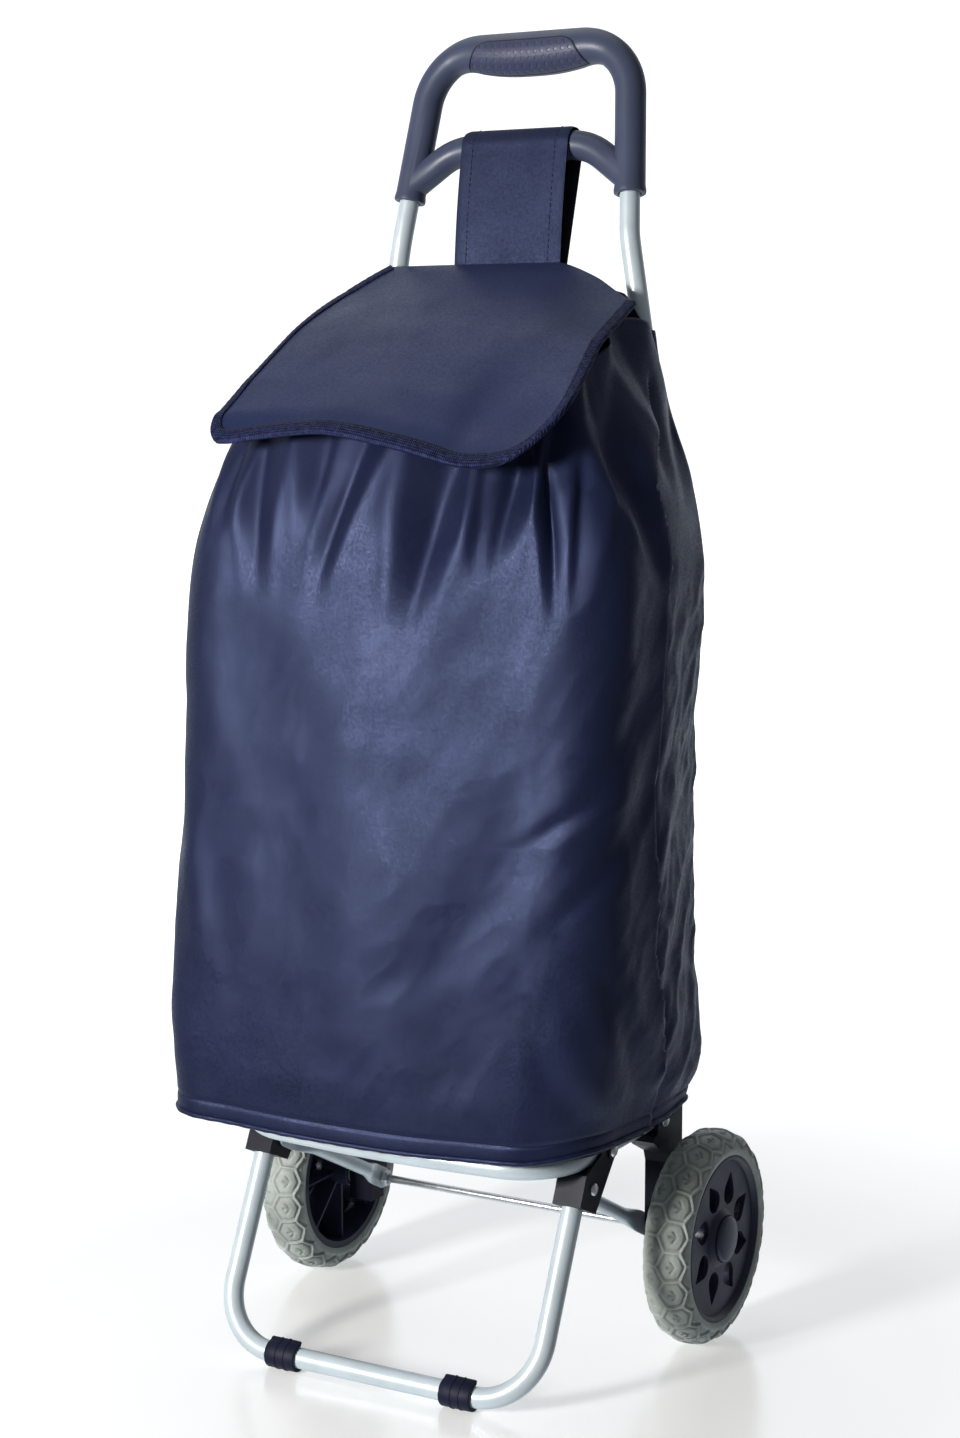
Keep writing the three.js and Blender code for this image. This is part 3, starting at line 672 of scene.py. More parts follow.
pair("platform_rivet_head", turned(rivet(120.2, 141.8, 4.8, 1.8, 2.4), 28, PIVOT_REAR), STEEL,
     "frame", "platform_rivet", "steel")
pair("leg_rivet_head", turned(rivet(118.7, 142.4, 4.6, 1.4, 2.3), 28, PIVOT_FRONT), STEEL,
     "leg", "leg_rivet", "steel")
pair("socket_rivet_head", turned(rivet(119.3, 141.3, 4.6, 0, 2.3), 28, PIVOT_BRACE), STEEL,
     "leg", "socket_rivet", "steel")
pair("brace_rivet_head", turned(rivet(115.2, 118.4, 4.4, 1.8, 0), 28, PIVOT_BRACE), STEEL,
     "braces", "brace_rivet", "steel")
pair("leg_rivet_ring", turned(flat_ring(141.3, 142.1, 2.8, 6.4), 36, PIVOT_FRONT, True), BRACKET,
     "leg", "leg_washer", "bracket_plastic")
piece("axle_rod", *turned([(-181, 0), (-181, 2.6), (-180.4, 3), (180.4, 3), (181, 2.6), (181, 0)], 28),
      STEEL, "frame", "axle", "steel")
pair("axle_nut_hex", turned([(110.4, 3.8), (110.4, 5.7), (111, 6.4), (114.5, 6.4), (115.1, 5.7),
                             (115.1, 3.8)], 6, PIVOT_AXLE, True), STEEL, "frame", "axle_nut",
     "steel", sharp=20)
pair("axle_spacer_ring", turned(flat_ring(118.5, 120.2, 3.3, 6.5), 36, PIVOT_AXLE, True), STEEL,
     "frame", "axle_spacer", "steel")
pair("wheel_washer_ring", turned(flat_ring(141.9, 143.9, 3.3, 8.5), 36, PIVOT_AXLE, True), STEEL,
     "frame", "wheel_washer", "steel")


def foot_clip():
    """An open ring moulded in one piece, ribbed round its middle, with a lip at each end."""
    def section(grow):
        outer = [(10.3 + grow, a) for a in np.linspace(96, 352, 36)]
        lip_a = [(11.6 + grow, 358), (12.6 + grow, 364), (12.8 + grow, 369), (11.8, 373)]
        inner = [(7.9 - min(0.0, grow) * 0.6, a) for a in np.linspace(371, 82, 40)]
        lip_b = [(11.4, 77), (12.0 + grow, 80), (11.6 + grow, 86), (10.8 + grow, 91)]
        return outer + lip_a + inner + lip_b

    loops = []
    for x, grow in ((60.5, -0.9), (60.7, -0.35), (61.3, 0), (68.6, 0.05), (69.0, 0.55),
                    (70.2, 0.6), (70.6, 0.05), (75.6, 0.05), (76.0, 0.5), (77.0, 0.5),
                    (77.4, 0.0), (84.7, 0), (85.3, -0.35), (85.5, -0.9)):
        loops.append(np.array([
            (x, foot[0] + r * math.cos(math.radians(a)), foot[1] + r * math.sin(math.radians(a)))
            for r, a in section(grow)
        ]))
    return rings(loops)


pair("foot_clip_ring", foot_clip(), CLIP, "leg", "foot_clip", "bracket_plastic")

# ---- wheels -------------------------------------------------------------------------------


def tyre():
    """A solid tyre: smooth side rings, and honeycomb ridges over the tread and shoulders."""
    outline = [(149.5, 61.8), (148.0, 64.5), (148.0, 67.5), (148.9, 71.5), (151.3, 75.2),
               (155.0, 78.0), (160.0, 79.6), (166.0, 80.0), (172.0, 79.6), (177.0, 78.0),
               (180.7, 75.2), (183.1, 71.5), (184.0, 67.5), (184.0, 64.5), (182.5, 61.8)]
    at = np.array(outline, float)
    gaps = np.hypot(*np.diff(at, axis=0).T)
    where = np.concatenate([[0], np.cumsum(gaps)])
    fine = np.linspace(0, where[-1], 92)
    px, pr = np.interp(fine, where, at[:, 0]), np.interp(fine, where, at[:, 1])
    for _ in range(3):
        px[1:-1] = (px[:-2] + 2 * px[1:-1] + px[2:]) / 4
        pr[1:-1] = (pr[:-2] + 2 * pr[1:-1] + pr[2:]) / 4
    nx, nr = np.gradient(pr), -np.gradient(px)
    size = np.hypot(nx, nr)
    nx, nr = -nx / size, -nr / size
    if nr[len(nr) // 2] < 0:
        nx, nr = -nx, -nr
    sides, cells = 560, 22
    turn = whole_turn(sides)
    across = fine - where[-1] / 2
    pitch = 2 * math.pi * WHEEL_R / cells
    s, a = np.meshgrid(across, turn * WHEEL_R)
    # each shoulder carries a row of hexagons, and the tread between them is cut in diamonds
    best = np.full(s.shape, 1e9)
    second = np.full(s.shape, 1e9)
    first_s, first_a = np.zeros_like(s), np.zeros_like(s)
    row = pitch * 0.84
    for j in (-1.5, -0.5, 0.5, 1.5):
        offset = (j + 1.5) % 2 * pitch / 2
        ca = np.round((a - offset) / pitch) * pitch + offset
        for k in (-1, 0, 1):
            d = np.hypot((s - j * row) * 1.03, a - ca - k * pitch)
            closer = d < best
            second = np.where(closer, best, np.minimum(second, d))
            first_s = np.where(closer, j * row, first_s)
            first_a = np.where(closer, ca + k * pitch, first_a)
            best = np.where(closer, d, best)
    edge = (second - best) / 2
    ridge = 1 - smoothstep(edge, 0.45, 1.5)
    ds, da = (s - first_s) * np.sign(first_s), a - first_a
    tail = (1 - smoothstep(np.abs(da), 0.6, 1.5)) * smoothstep(ds, -4.5, -3.5) * (1 - smoothstep(ds, 2, 3))
    arms = ((1 - smoothstep(np.abs(ds - 2.5 + np.abs(da) * 0.8), 0.6, 1.5))
            * (1 - smoothstep(np.abs(da), 4.0, 5.0)))
    notch = np.maximum(tail, arms)
    slab = smoothstep(edge, 2.2, 3.6)
    shoulder = 1 - smoothstep(np.abs(s), 23.0, 26.0)
    lift = shoulder * (-1.7 + 1.7 * ridge + 0.8 * slab - 1.2 * notch)
    loops = []
    for i in range(sides):
        x = px + nx * lift[i]
        r = pr + nr * lift[i]
        loops.append(np.stack([x, PIVOT_AXLE[0] + r * math.cos(turn[i]),
                               PIVOT_AXLE[1] + r * math.sin(turn[i])], 1))
    return *rings(loops, closed=True), lift.ravel()


def leaf(turn, steps=15):
    """A curving leaf-shaped opening with its point towards the rim, as (y, z) points."""
    def place(t, w):
        r, side = 25 + 24.5 * t, 5.0 * (t * t - 0.35 * t) + w
        return (r * math.cos(turn) - side * math.sin(turn),
                r * math.sin(turn) + side * math.cos(turn))

    ts = np.linspace(0, 1, steps)
    half = np.interp(ts, [0, 0.05, 0.14, 0.3, 0.48, 0.66, 0.82, 0.93, 1],
                     [0, 4.2, 7.0, 9.0, 8.4, 5.8, 3.2, 1.5, 0])
    return ([place(t, w) for t, w in zip(ts, half)]
            + [place(t, -w) for t, w in list(zip(ts, half))[-2:0:-1]])


def curve_plate(name, outlines, x_middle, thick, bevel, centre):
    """A flat plate with openings and rounded edges, lying in a YZ plane."""
    data = bpy.data.curves.new(name, "CURVE")
    data.dimensions, data.fill_mode = "2D", "BOTH"
    data.extrude, data.bevel_depth, data.bevel_resolution = thick / 2 - bevel, bevel, 2
    data.offset = -bevel
    for points in outlines:
        spline = data.splines.new("POLY")
        spline.points.add(len(points) - 1)
        for p, (a, b) in zip(spline.points, points):
            p.co = (a, b, 0, 1)
        spline.use_cyclic_u = True
    made = in_scene(name, data)
    dg = bpy.context.evaluated_depsgraph_get()
    mesh = bpy.data.meshes.new_from_object(made.evaluated_get(dg))
    bpy.data.objects.remove(made)
    points = [(v.co.z + x_middle, v.co.x + centre[0], v.co.y + centre[1]) for v in mesh.vertices]
    return np.array(points), [tuple(p.vertices) for p in mesh.polygons]


def circle(radius, count=72):
    return [(radius * math.cos(2 * math.pi * i / count), radius * math.sin(2 * math.pi * i / count))
            for i in range(count)]


def hub():
    face = curve_plate(
        "face_plate",
        [circle(57.2, 96), circle(21.0, 48)] + [leaf(2 * math.pi * (i + 0.5) / 8) for i in range(8)],
        177.6, 3.4, 0.3, PIVOT_AXLE,
    )
    rim = turned([(150, 56.5), (150, 61.5), (182.4, 61.5), (183.0, 60.9), (183.0, 59.6),
                  (182.2, 58.6), (180.4, 57.6), (178.4, 56.4), (176.4, 55.6), (176, 56.5)],
                 96, PIVOT_AXLE, True)
    dish = turned([(175.9, 21.8), (179.2, 22.3), (179.6, 21.6), (182.2, 18.4), (182.5, 17.9),
                   (181.6, 17.4), (181.4, 4), (175.9, 4)], 72, PIVOT_AXLE, True)
    boss = turned([(144.3, 3.3), (144.3, 10.4), (144.9, 11), (176, 11.6), (176, 3.3)], 48,
                  PIVOT_AXLE, True)
    ribs = []
    for i in range(8):
        a = 2 * math.pi * i / 8
        out, side = (math.cos(a), math.sin(a)), (-math.sin(a), math.cos(a))
        loops = []
        for x, w in ((155, 0.9), (156, 1.2), (176.2, 1.5)):
            loops.append(np.array([
                (x, out[0] * r + side[0] * s * w, WHEEL_R + out[1] * r + side[1] * s * w)
                for r, s in ((10, -1), (57.4, -1), (57.4, 1), (10, 1))
            ]))
        ribs.append(rings(loops))
    return joined(face, rim, dish, boss, *ribs)


cap = turned([(182.6, 16.2), (182.9, 17.2), (184.2, 17.2), (184.9, 16.8), (185.6, 15.8),
              (186.2, 13.6), (186.8, 10.5), (187.25, 6.5), (187.5, 2.5), (187.5, 0)], 64)
tyre_points, tyre_faces, tyre_relief = tyre()
for made in pair("tyre_tread", (tyre_points, tyre_faces), RUBBER, "wheel_*", "tyre",
                 "tyre_rubber", sharp=50):
    relief = made.data.attributes.new("relief", "FLOAT", "POINT")
    relief.data.foreach_set("value", tyre_relief)
pair("hub_wheel", hub(), HUB, "wheel_*", "wheel_hub", "hub_plastic")
pair("hub_cap_dome", cap, CAP_PAINTED_REFLECTION, "wheel_*", "hub_cap", "hub_plastic")

# ---- the lid's surface ------------------------------------------------------------------------


def evenly(corners, pace, count, endpoint=True):
    """x and y at count even steps along a bent line in plan."""
    dense = np.array([tuple(p)[:2] for p, _ in bent(corners, pace)])
    steps = np.concatenate([[0], np.cumsum(np.hypot(*np.diff(dense, axis=0).T))])
    even = np.linspace(0, steps[-1], count, endpoint=endpoint)
    return np.interp(even, steps, dense[:, 0]), np.interp(even, steps, dense[:, 1])


# Heights of the lid: (y, z) along its middle, (x, z) along its front edge, and (y, z) along its
# left and right edges. The edges were read off the photograph through its solved camera.
LID_LINE = np.array([(-12.9, 796.4), (-25, 790.6), (-40, 782.5), (-70, 766), (-100, 748.5),
                     (-130, 729), (-162, 706.5), (-186, 687.5), (-203, 671)], float)
LID_WAVE = np.array([(-143, 672), (-128, 667.5), (-117, 667.2), (-105, 669), (-88, 672),
                     (-71, 674.4), (-54, 676.2), (-38, 676.8), (-22, 675), (-6, 672.4),
                     (10, 669.2), (26, 666), (42, 662.2), (57, 658.6), (73, 655.6), (88, 654.6),
                     (103, 656.2), (118, 660.2), (133, 668.5), (143, 676)], float)
LID_LEFT = np.array([(-203, 672), (-193, 683), (-187, 691), (-155, 713.7), (-97, 747.3),
                     (-43, 774.8), (-13, 796)], float)
LID_RIGHT = np.array([(-203, 672), (-198, 677), (-176, 691.4), (-162, 701), (-138, 714.7),
                      (-106, 735), (-67, 753), (-40, 765), (-10, 779)], float)
LID_FRONT = -203
LID_MEAN = 671.0
BAND = 8.2


def lid_edge():
    """The lid's bound edge in plan: from the left rear, round the front, to the right rear."""
    corners = [(-98, -12, 0, 0), (-121, -42, 0, 40), (-131, -100, 0, 200), (-138, -204, 0, 16),
               (0, -203.5, 0, 900), (143, -203, 0, 38), (128, -104, 0, 160), (122, -40, 0, 0)]
    return np.stack(evenly(corners, 2, 340), 1)


def lid_back():
    """The sewn edge behind, from the right rear to the left rear, without its end points."""
    corners = [(122, -40, 0, 0), (84, -21, 0, 60), (48, -12.5, 0, 60), (-98, -12, 0, 0)]
    return np.stack(evenly(corners, 2, 120), 1)[1:-1]


def wave_at(x):
    """How far the lid's front edge stands above its usual height, by place along it."""
    near = [np.interp(x + d, LID_WAVE[:, 0], LID_WAVE[:, 1]) for d in (-6, -2, 2, 6)]
    return sum(near) / 4 - LID_MEAN


def lid_height(x, y):
    x, y = np.asarray(x, float), np.asarray(y, float)
    middle = np.interp(-y, -LID_LINE[:, 0], LID_LINE[:, 1])
    middle = middle - np.clip(LID_FRONT - y, 0, None)
    forward = smoothstep(-y, 110, -LID_FRONT)
    wave = wave_at(x)
    side = smoothstep(y, -200, -180)
    ends = wave_at(np.where(x < 0, -137, 137)) * forward
    left = np.interp(y, LID_LEFT[:, 0], LID_LEFT[:, 1]) - middle - ends
    right = np.interp(y, LID_RIGHT[:, 0], LID_RIGHT[:, 1]) - middle - ends
    left = (left - 5 * smoothstep(-x, 122, 138) * side) * smoothstep(-x, 55, 128)
    right = right * smoothstep(x, 40, 130)
    crown = 3.0 * np.exp(-(((y + 95) / 50) ** 2)) * (1 - (x / 150) ** 2)
    dent = -3.5 * np.exp(-(((x - 66) / 13) ** 2) - ((y + 172) / 26) ** 2)
    swell = 2.2 * np.exp(-(((x - 100) / 16) ** 2) - ((y + 165) / 30) ** 2)
    fold = 1.6 * np.sin(x / 31 + y / 48 + 0.4) * smoothstep(-y, 30, 90) * (1 - forward)
    return middle + wave * forward + left + right + crown + dent + swell + fold


# ---- bag ------------------------------------------------------------------------------------

# Plan of the bag at several heights: half widths and depth of its corners, in millimetres.
# z: left, front, right front, right fold, right rear
PLAN = [
    (178, -187, -207, 141, 147, 148),
    (190, -189, -208, 150, 160, 166),
    (215, -190, -209, 158, 168, 168),
    (260, -190, -210, 165, 173, 163),
    (335, -184, -211, 168, 176, 157),
    (395, -180, -210, 170, 176, 159),
    (440, -177, -209, 172, 175, 154),
    (520, -173, -206, 175, 177, 161),
    (600, -170, -200, 177, 176, 166),
    (634, -168, -195, 172, 169, 159),
    (655, -160, -189, 166, 163, 152),
    (690, -145, -174, 150, 150, 140),
    (744, -127, -150, 127, 126, 123),
    (800, -110, -128, 110, 108, 108),
]
LEVELS = np.linspace(BAG_LOW, 800, 500)
AROUND = 420


def through(table, at):
    """A smooth curve through a table's rows, sampled at the heights in at."""
    table = np.array(table, float)
    z, values = table[:, 0], table[:, 1:]
    slope = np.gradient(values, z, axis=0)
    i = np.clip(np.searchsorted(z, at, "right") - 1, 0, len(z) - 2)
    span = (z[i + 1] - z[i])[:, None]
    t = (at - z[i])[:, None] / span
    a, b, ma, mb = values[i], values[i + 1], slope[i] * span, slope[i + 1] * span
    return ((2 * t**3 - 3 * t**2 + 1) * a + (t**3 - 2 * t**2 + t) * ma
            + (3 * t**2 - 2 * t**3) * b + (t**3 - t**2) * mb)


def plan_outline(left, front, right, fold, rear):
    """One level's outline, from the middle of the back round by the left, evenly spaced."""
    shrink = min(1.0, (right - left) / 330)
    mid = mix(front, BAG_BACK, 0.5)
    fold_y = mix(front, BAG_BACK, 0.52)
    rear_left = -min(166, abs(left) - 6)
    corners = [
        (0, BAG_BACK, 0, 0), (rear_left, BAG_BACK, 0, 15), (left - 1, mid, 0, 260),
        (left + 2, front, 0, 46 * shrink + 4), (-20, front - 3.5, 0, 700),
        (right, front + 4, 0, 52 * shrink + 4), (fold, fold_y, 0, 40), (rear, BAG_BACK, 0, 12),
        (0, BAG_BACK, 0, 0),
    ]
    return evenly(corners, 3, AROUND, endpoint=False)


outlines = [plan_outline(*row) for row in through(PLAN, LEVELS)]


def smooth_up(table, reach=26):
    """A column-wise running mean, twice over, so that no level shows as a line."""
    for _ in range(2):
        padded = np.pad(table, ((reach, reach), (0, 0)), mode="edge")
        run = np.cumsum(np.vstack([np.zeros(table.shape[1]), padded]), axis=0)
        table = (run[2 * reach + 1:] - run[:-2 * reach - 1]) / (2 * reach + 1)
    return table


OUT_X = smooth_up(np.array([o[0] for o in outlines]))
OUT_Y = smooth_up(np.array([o[1] for o in outlines]))


def round_distance():
    """Distance round each level from the front's middle line, positive to the right."""
    out = np.zeros_like(OUT_X)
    for k in range(len(LEVELS)):
        x, y = OUT_X[k], OUT_Y[k]
        step = np.hypot(np.diff(x, append=x[0]), np.diff(y, append=y[0]))
        total = np.concatenate([[0], np.cumsum(step)[:-1]])
        ahead = np.flatnonzero((y < -100) & (np.abs(x) < 40))
        out[k] = total - np.interp(0.0, x[ahead], total[ahead])
    return smooth_up(out)


ROUND = round_distance()


def bag_top():
    """Height of the bag's upper edge in each column: just under the lid, and up to the strap."""
    index = np.arange(AROUND)
    z = np.full(AROUND, 700.0)
    for _ in range(12):
        at = np.clip((z - LEVELS[0]) / (LEVELS[1] - LEVELS[0]), 0, len(LEVELS) - 1.001)
        k, t = at.astype(int), at - at.astype(int)
        x = mix(OUT_X[k, index], OUT_X[k + 1, index], t)
        y = mix(OUT_Y[k, index], OUT_Y[k + 1, index], t)
        behind = smoothstep(y, -45, BAG_BACK - 2)
        corner = smoothstep(np.abs(x), 96, 118) * behind
        under = np.minimum(lid_height(x, y) - 10, 789)
        z = mix(z, mix(under, 750, corner), 0.6)
    return z


# Gathers under the lid, placed from points of the photograph seen through its solved camera:
# (points along the fold as (distance round, z)), depth, half width.
GATHERS = [
    ([(-165, 700), (-166, 570)], 4.0, 11),
    ([(-128, 700), (-128, 610)], 5.5, 8),
    ([(-104, 700), (-93, 560)], 5.0, 8),
    ([(-44, 700), (-49, 600)], 5.0, 9),
    ([(-10, 700), (-44, 560)], 6.0, 7),
    ([(57, 700), (44, 625), (30, 530)], 10.0, 11),
    ([(76, 690), (77, 580)], 3.5, 5),
    ([(99, 700), (96, 640), (90, 585)], 9.0, 10),
    ([(133, 705), (135, 640), (139, 545)], 8.0, 7),
    ([(150, 720), (163, 640), (152, 556)], 6.5, 9),
    ([(190, 740), (192, 660), (186, 600)], 6.0, 11),
    ([(152, 735), (196, 652), (243, 566)], 6.5, 9),
    ([(205, 745), (236, 690), (268, 636)], 4.5, 8),
    ([(286, 750), (290, 690), (296, 620)], 4.0, 10),
    ([(-196, 720), (-200, 610)], 5.0, 12),
    ([(-232, 735), (-238, 600)], 5.5, 11),
    ([(-276, 745), (-284, 620)], 5.0, 12),
]
# Long soft dents lower down: the same, fading at both ends.
DENTS = [
    ([(150, 520), (96, 380), (40, 300)], 2.2, 26),
    ([(225, 505), (170, 430), (120, 400)], 3.0, 14),
    ([(232, 440), (180, 380), (150, 350)], 2.6, 12),
    ([(-90, 540), (-60, 400), (-66, 250)], 2.6, 30),
    ([(30, 470), (60, 330), (52, 215)], 2.4, 26),
    ([(-150, 480), (-140, 330)], 2.2, 20),
    ([(-190, 420), (-160, 300), (-150, 240)], 2.6, 16),
    ([(110, 300), (140, 240), (170, 205)], 2.6, 16),
    ([(180, 320), (210, 260), (228, 212)], 2.6, 13),
    ([(-240, 560), (-215, 450), (-225, 330)], 4.0, 14),
    ([(-270, 420), (-235, 330), (-240, 240)], 3.6, 12),
]
# The side's fold, where the front part overlaps the rear: (distance round, z).
FOLD = [(236, 700), (228, 668), (224, 640), (244, 612), (250, 585), (247, 520), (242, 450),
        (239, 400), (246, 350), (242, 325), (254, 280), (258, 235), (256, 200), (254, 178)]


def line_at(points, z):
    p = np.array(sorted(points, key=lambda q: q[1]), float)
    return np.interp(z, p[:, 1], p[:, 0])


def fbm(points, scale, octaves=3, ridged=False, seed=0.0):
    out = np.empty(len(points))
    shift = Vector((seed, seed * 0.7, -seed))
    for i, p in enumerate(points):
        q = Vector(p) * scale + shift
        value, gain = 0.0, 1.0
        for _ in range(octaves):
            n = noise.noise(q)
            value += gain * ((1 - 2 * abs(n)) if ridged else n)
            q, gain = q * 2.03, gain * 0.5
        out[i] = value
    return out


def gathered(c, z):
    """How far the gathers and long dents push the fabric out, and the front's soft right side."""
    push = np.zeros_like(z)
    for points, depth, wide in GATHERS:
        line = line_at(points, z)
        lo, hi = min(p[1] for p in points), max(p[1] for p in points)
        tall = smoothstep(z, lo - 10, mix(lo, hi, 0.55))
        width = 1.3 * wide * mix(0.55, 1.15, smoothstep(z, lo, hi + 10))
        d = np.abs(c - line) / width
        valley = np.exp(-1.5 * d) * (1 + 1.5 * d)
        ridge = 0.2 * np.exp(-((d - 2.3) / 0.8) ** 2)
        push += 1.45 * depth * tall * (ridge - valley)
    for points, depth, wide in DENTS:
        line = line_at(points, z)
        lo, hi = min(p[1] for p in points), max(p[1] for p in points)
        tall = smoothstep(z, lo - 35, lo + 35) * (1 - smoothstep(z, hi - 35, hi + 35))
        d = (c - line) / wide
        push += 0.75 * depth * tall * (0.5 * np.exp(-((d - 1.8) / 0.9) ** 2) - np.exp(-d * d))
    # the front rounds off early towards the right
    push -= 13 * smoothstep(c, 15, 128) * (1 - smoothstep(c, 128, 205)) * (1 - smoothstep(z, 640, 720))
    push -= 4 * smoothstep(-c, 60, 130) * (1 - smoothstep(-c, 130, 180))
    return push


def overlapped(c, z):
    """The overlap: rising towards the fold from the front, then a short step in."""
    line = line_at(FOLD, z)
    d = c - line
    shown = 1 - smoothstep(z, 690, 720)
    strong = mix(4.6, 7.0, smoothstep(z, 540, 620)) * mix(0.8, 1.0, smoothstep(z, 200, 400))
    rise = np.where(d < 0, np.exp(np.minimum(d, 0) / 16), 0)
    after = np.clip(d, 0, None)
    fall = -1.1 * np.exp(-after / 9) * (1 - np.exp(-after))
    return shown * strong * (rise * np.clip(-d / 1.2, 0, 1) + fall)


def crumpled(c, z, push):
    """push with creases and crumples added: fine behind the fold, broad elsewhere."""
    where = np.stack([c.ravel() / 1000, z.ravel() / 1000, np.zeros(c.size)], 1)
    lean = where @ np.array([[1, 0.35, 0], [-0.55, 1, 0], [0, 0, 1]])
    crumple = (fbm(lean * (1, 0.5, 1), 21, 3, True, 3.1)).reshape(z.shape)
    crease = fbm(lean * (1, 0.6, 1), 11, 3, True, 5.2).reshape(z.shape)
    broad = fbm(lean * (1, 0.8, 1), 8, 3, False, 8.4).reshape(z.shape)
    back_part = smoothstep(c, 246, 262) * (1 - smoothstep(z, 520, 600)) * smoothstep(z, 180, 215)
    side_part = smoothstep(np.abs(c), 165, 215) * (1 - smoothstep(z, 540, 620))
    calm = smoothstep(z, 182, 225)
    push += back_part * 2.0 * (crumple - 0.2)
    push += side_part * calm * 0.9 * (crumple - 0.2)
    push += calm * 2.2 * broad * mix(1.0, 1.5, side_part)
    push += calm * 0.95 * (crease - 0.25) * (1 - smoothstep(z, 560, 640))
    return push


def bag_skin():
    low = np.array([0, 1, 2, 3, 4.2, 5.6, 7.2, 9, 10.4, 11.4, 12.4, 13.4, 14.6, 16.2])
    share = np.concatenate([low / 560, np.linspace(18.5 / 560, 1, 282)])
    index = np.arange(AROUND)
    top = bag_top()
    z = BAG_LOW + (top - BAG_LOW)[None, :] * share[:, None]
    at = np.clip((z - LEVELS[0]) / (LEVELS[1] - LEVELS[0]), 0, len(LEVELS) - 1.001)
    k, t = at.astype(int), at - at.astype(int)
    cols = np.broadcast_to(index, z.shape)
    x = mix(OUT_X[k, cols], OUT_X[k + 1, cols], t)
    y = mix(OUT_Y[k, cols], OUT_Y[k + 1, cols], t)
    c = mix(ROUND[k, cols], ROUND[k + 1, cols], t)
    dx = np.roll(x, -1, 1) - np.roll(x, 1, 1)
    dy = np.roll(y, -1, 1) - np.roll(y, 1, 1)
    size = np.hypot(dx, dy)
    nx, ny = dy / size, -dx / size  # outward, as the outline runs by the left
    if (nx[0] * x[0]).sum() < 0:
        nx, ny = -nx, -ny
    push = gathered(c, z)
    push += overlapped(c, z)
    push = crumpled(c, z, push)
    # hem: a seam a finger's width above the lower edge
    rise_z = z - z[0]
    push -= 1.0 * np.exp(-((rise_z - 12.4) / 1.3) ** 2)
    push += 0.4 * np.exp(-((rise_z - 6) / 4.5) ** 2)
    # nothing moves back into the uprights
    free = smoothstep(BAG_BACK - y, 0.0, 14)
    push = push * free
    x, y = x + nx * push, np.minimum(y + ny * push, BAG_BACK)
    # the lower edge is drawn up a little behind on the right
    drawn = (5.5 * smoothstep(c, 120, 185) + 6 * smoothstep(c, 275, 330)) * (1 - smoothstep(c, 350, 470))
    z = z + drawn * (1 - smoothstep(rise_z, 0, 45))
    return x, y, z, c


bag_x, bag_y, bag_z, bag_c = bag_skin()
ROWS = len(bag_x)
bag_points = np.stack([bag_x.ravel(), bag_y.ravel(), bag_z.ravel()], 1)
bag_faces = [
    (j * AROUND + i, j * AROUND + (i + 1) % AROUND, (j + 1) * AROUND + (i + 1) % AROUND,
     (j + 1) * AROUND + i)
    for j in range(ROWS - 1) for i in range(AROUND)
]
walls = piece("bag_walls", bag_points, bag_faces, [FABRIC, LINING], "frame", "bag_body",
              "bag_fabric", sharp=None)
thick = walls.modifiers.new("cloth", "SOLIDIFY")
thick.thickness, thick.offset, thick.material_offset = 0.0009, -1, 1


def with_ways(points):
    """Each point of a line with its direction there."""
    last = len(points) - 1
    return [(p, (points[min(k + 1, last)] - points[max(k - 1, 0)]).normalized())
            for k, p in enumerate(points)]


def fold_shadow_run():
    """A dark tube laid where the front overlaps the side panel: painted shadow in the fold."""
    run = []
    for j in range(16, ROWS, 3):
        z = float(bag_z[j].mean())
        if z > 640:
            break
        i = int(np.argmin(np.abs(bag_c[j] - float(line_at(FOLD, np.array([z]))[0]) - 1.6)))
        run.append(Vector((bag_x[j, i] - 0.1, bag_y[j, i] - 0.2, bag_z[j, i])))
    return with_ways(run)


fold_shadow_path = fold_shadow_run()
piece("bag_fold_shadow_line", *tube(None, [0.55] * len(fold_shadow_path), 8, fold_shadow_path), LINING, "frame",
      slot="bag_fabric")

# the rolled edge along the bottom, from one rear corner round the front to the other
roll = with_ways([Vector((bag_x[0, i], bag_y[0, i], bag_z[0, i])) for i in range(AROUND)
                  if bag_y[0, i] < -16])
roll = [(p + Vector((0, 0, 0.3)), way) for p, way in roll]
piece("bag_edge_roll", *tube(None, [2.0 + 0.15 * math.sin(i * 0.9) for i in range(len(roll))], 12,
                             roll), FABRIC, "frame", "bag_piping", "bag_fabric")


def floor_board():
    """The stiff board that carries the load, covered in the bag's fabric."""
    rim = np.array([(bag_x[0, i], min(bag_y[0, i], -30)) for i in range(0, AROUND, 3)])
    keep = [p for i, p in enumerate(rim) if i == 0 or np.hypot(*(p - rim[i - 1])) > 0.5]
    rim = np.array(keep)
    middle = np.array([mix(rim[:, 0].min(), rim[:, 0].max(), 0.5), -115])
    loops = []
    for inset, z in ((30, 177.9), (5.2, 177.9), (4.4, 178.2), (4.0, 179.1), (4.4, 180.1),
                     (5.2, 180.4), (30, 180.5)):
        away = rim - middle
        size = np.hypot(*away.T)[:, None]
        inner = middle + away * (1 - inset / size)
        loops.append(np.column_stack([inner, np.full(len(inner), z)]))
    return rings(loops)


piece("bag_floor_board", *floor_board(), LINING, "platform", "bag_floor", "floor_board")

# ---- lid ------------------------------------------------------------------------------------

rim = lid_edge()
lid_middle = np.array([0.0, -110.0])


def inward():
    way = np.gradient(rim, axis=0)
    way /= np.hypot(*way.T)[:, None]
    left = np.stack([-way[:, 1], way[:, 0]], 1)
    toward = lid_middle - rim
    sign = np.sign((left * toward).sum(1))[:, None]
    return left * sign


INWARD = inward()


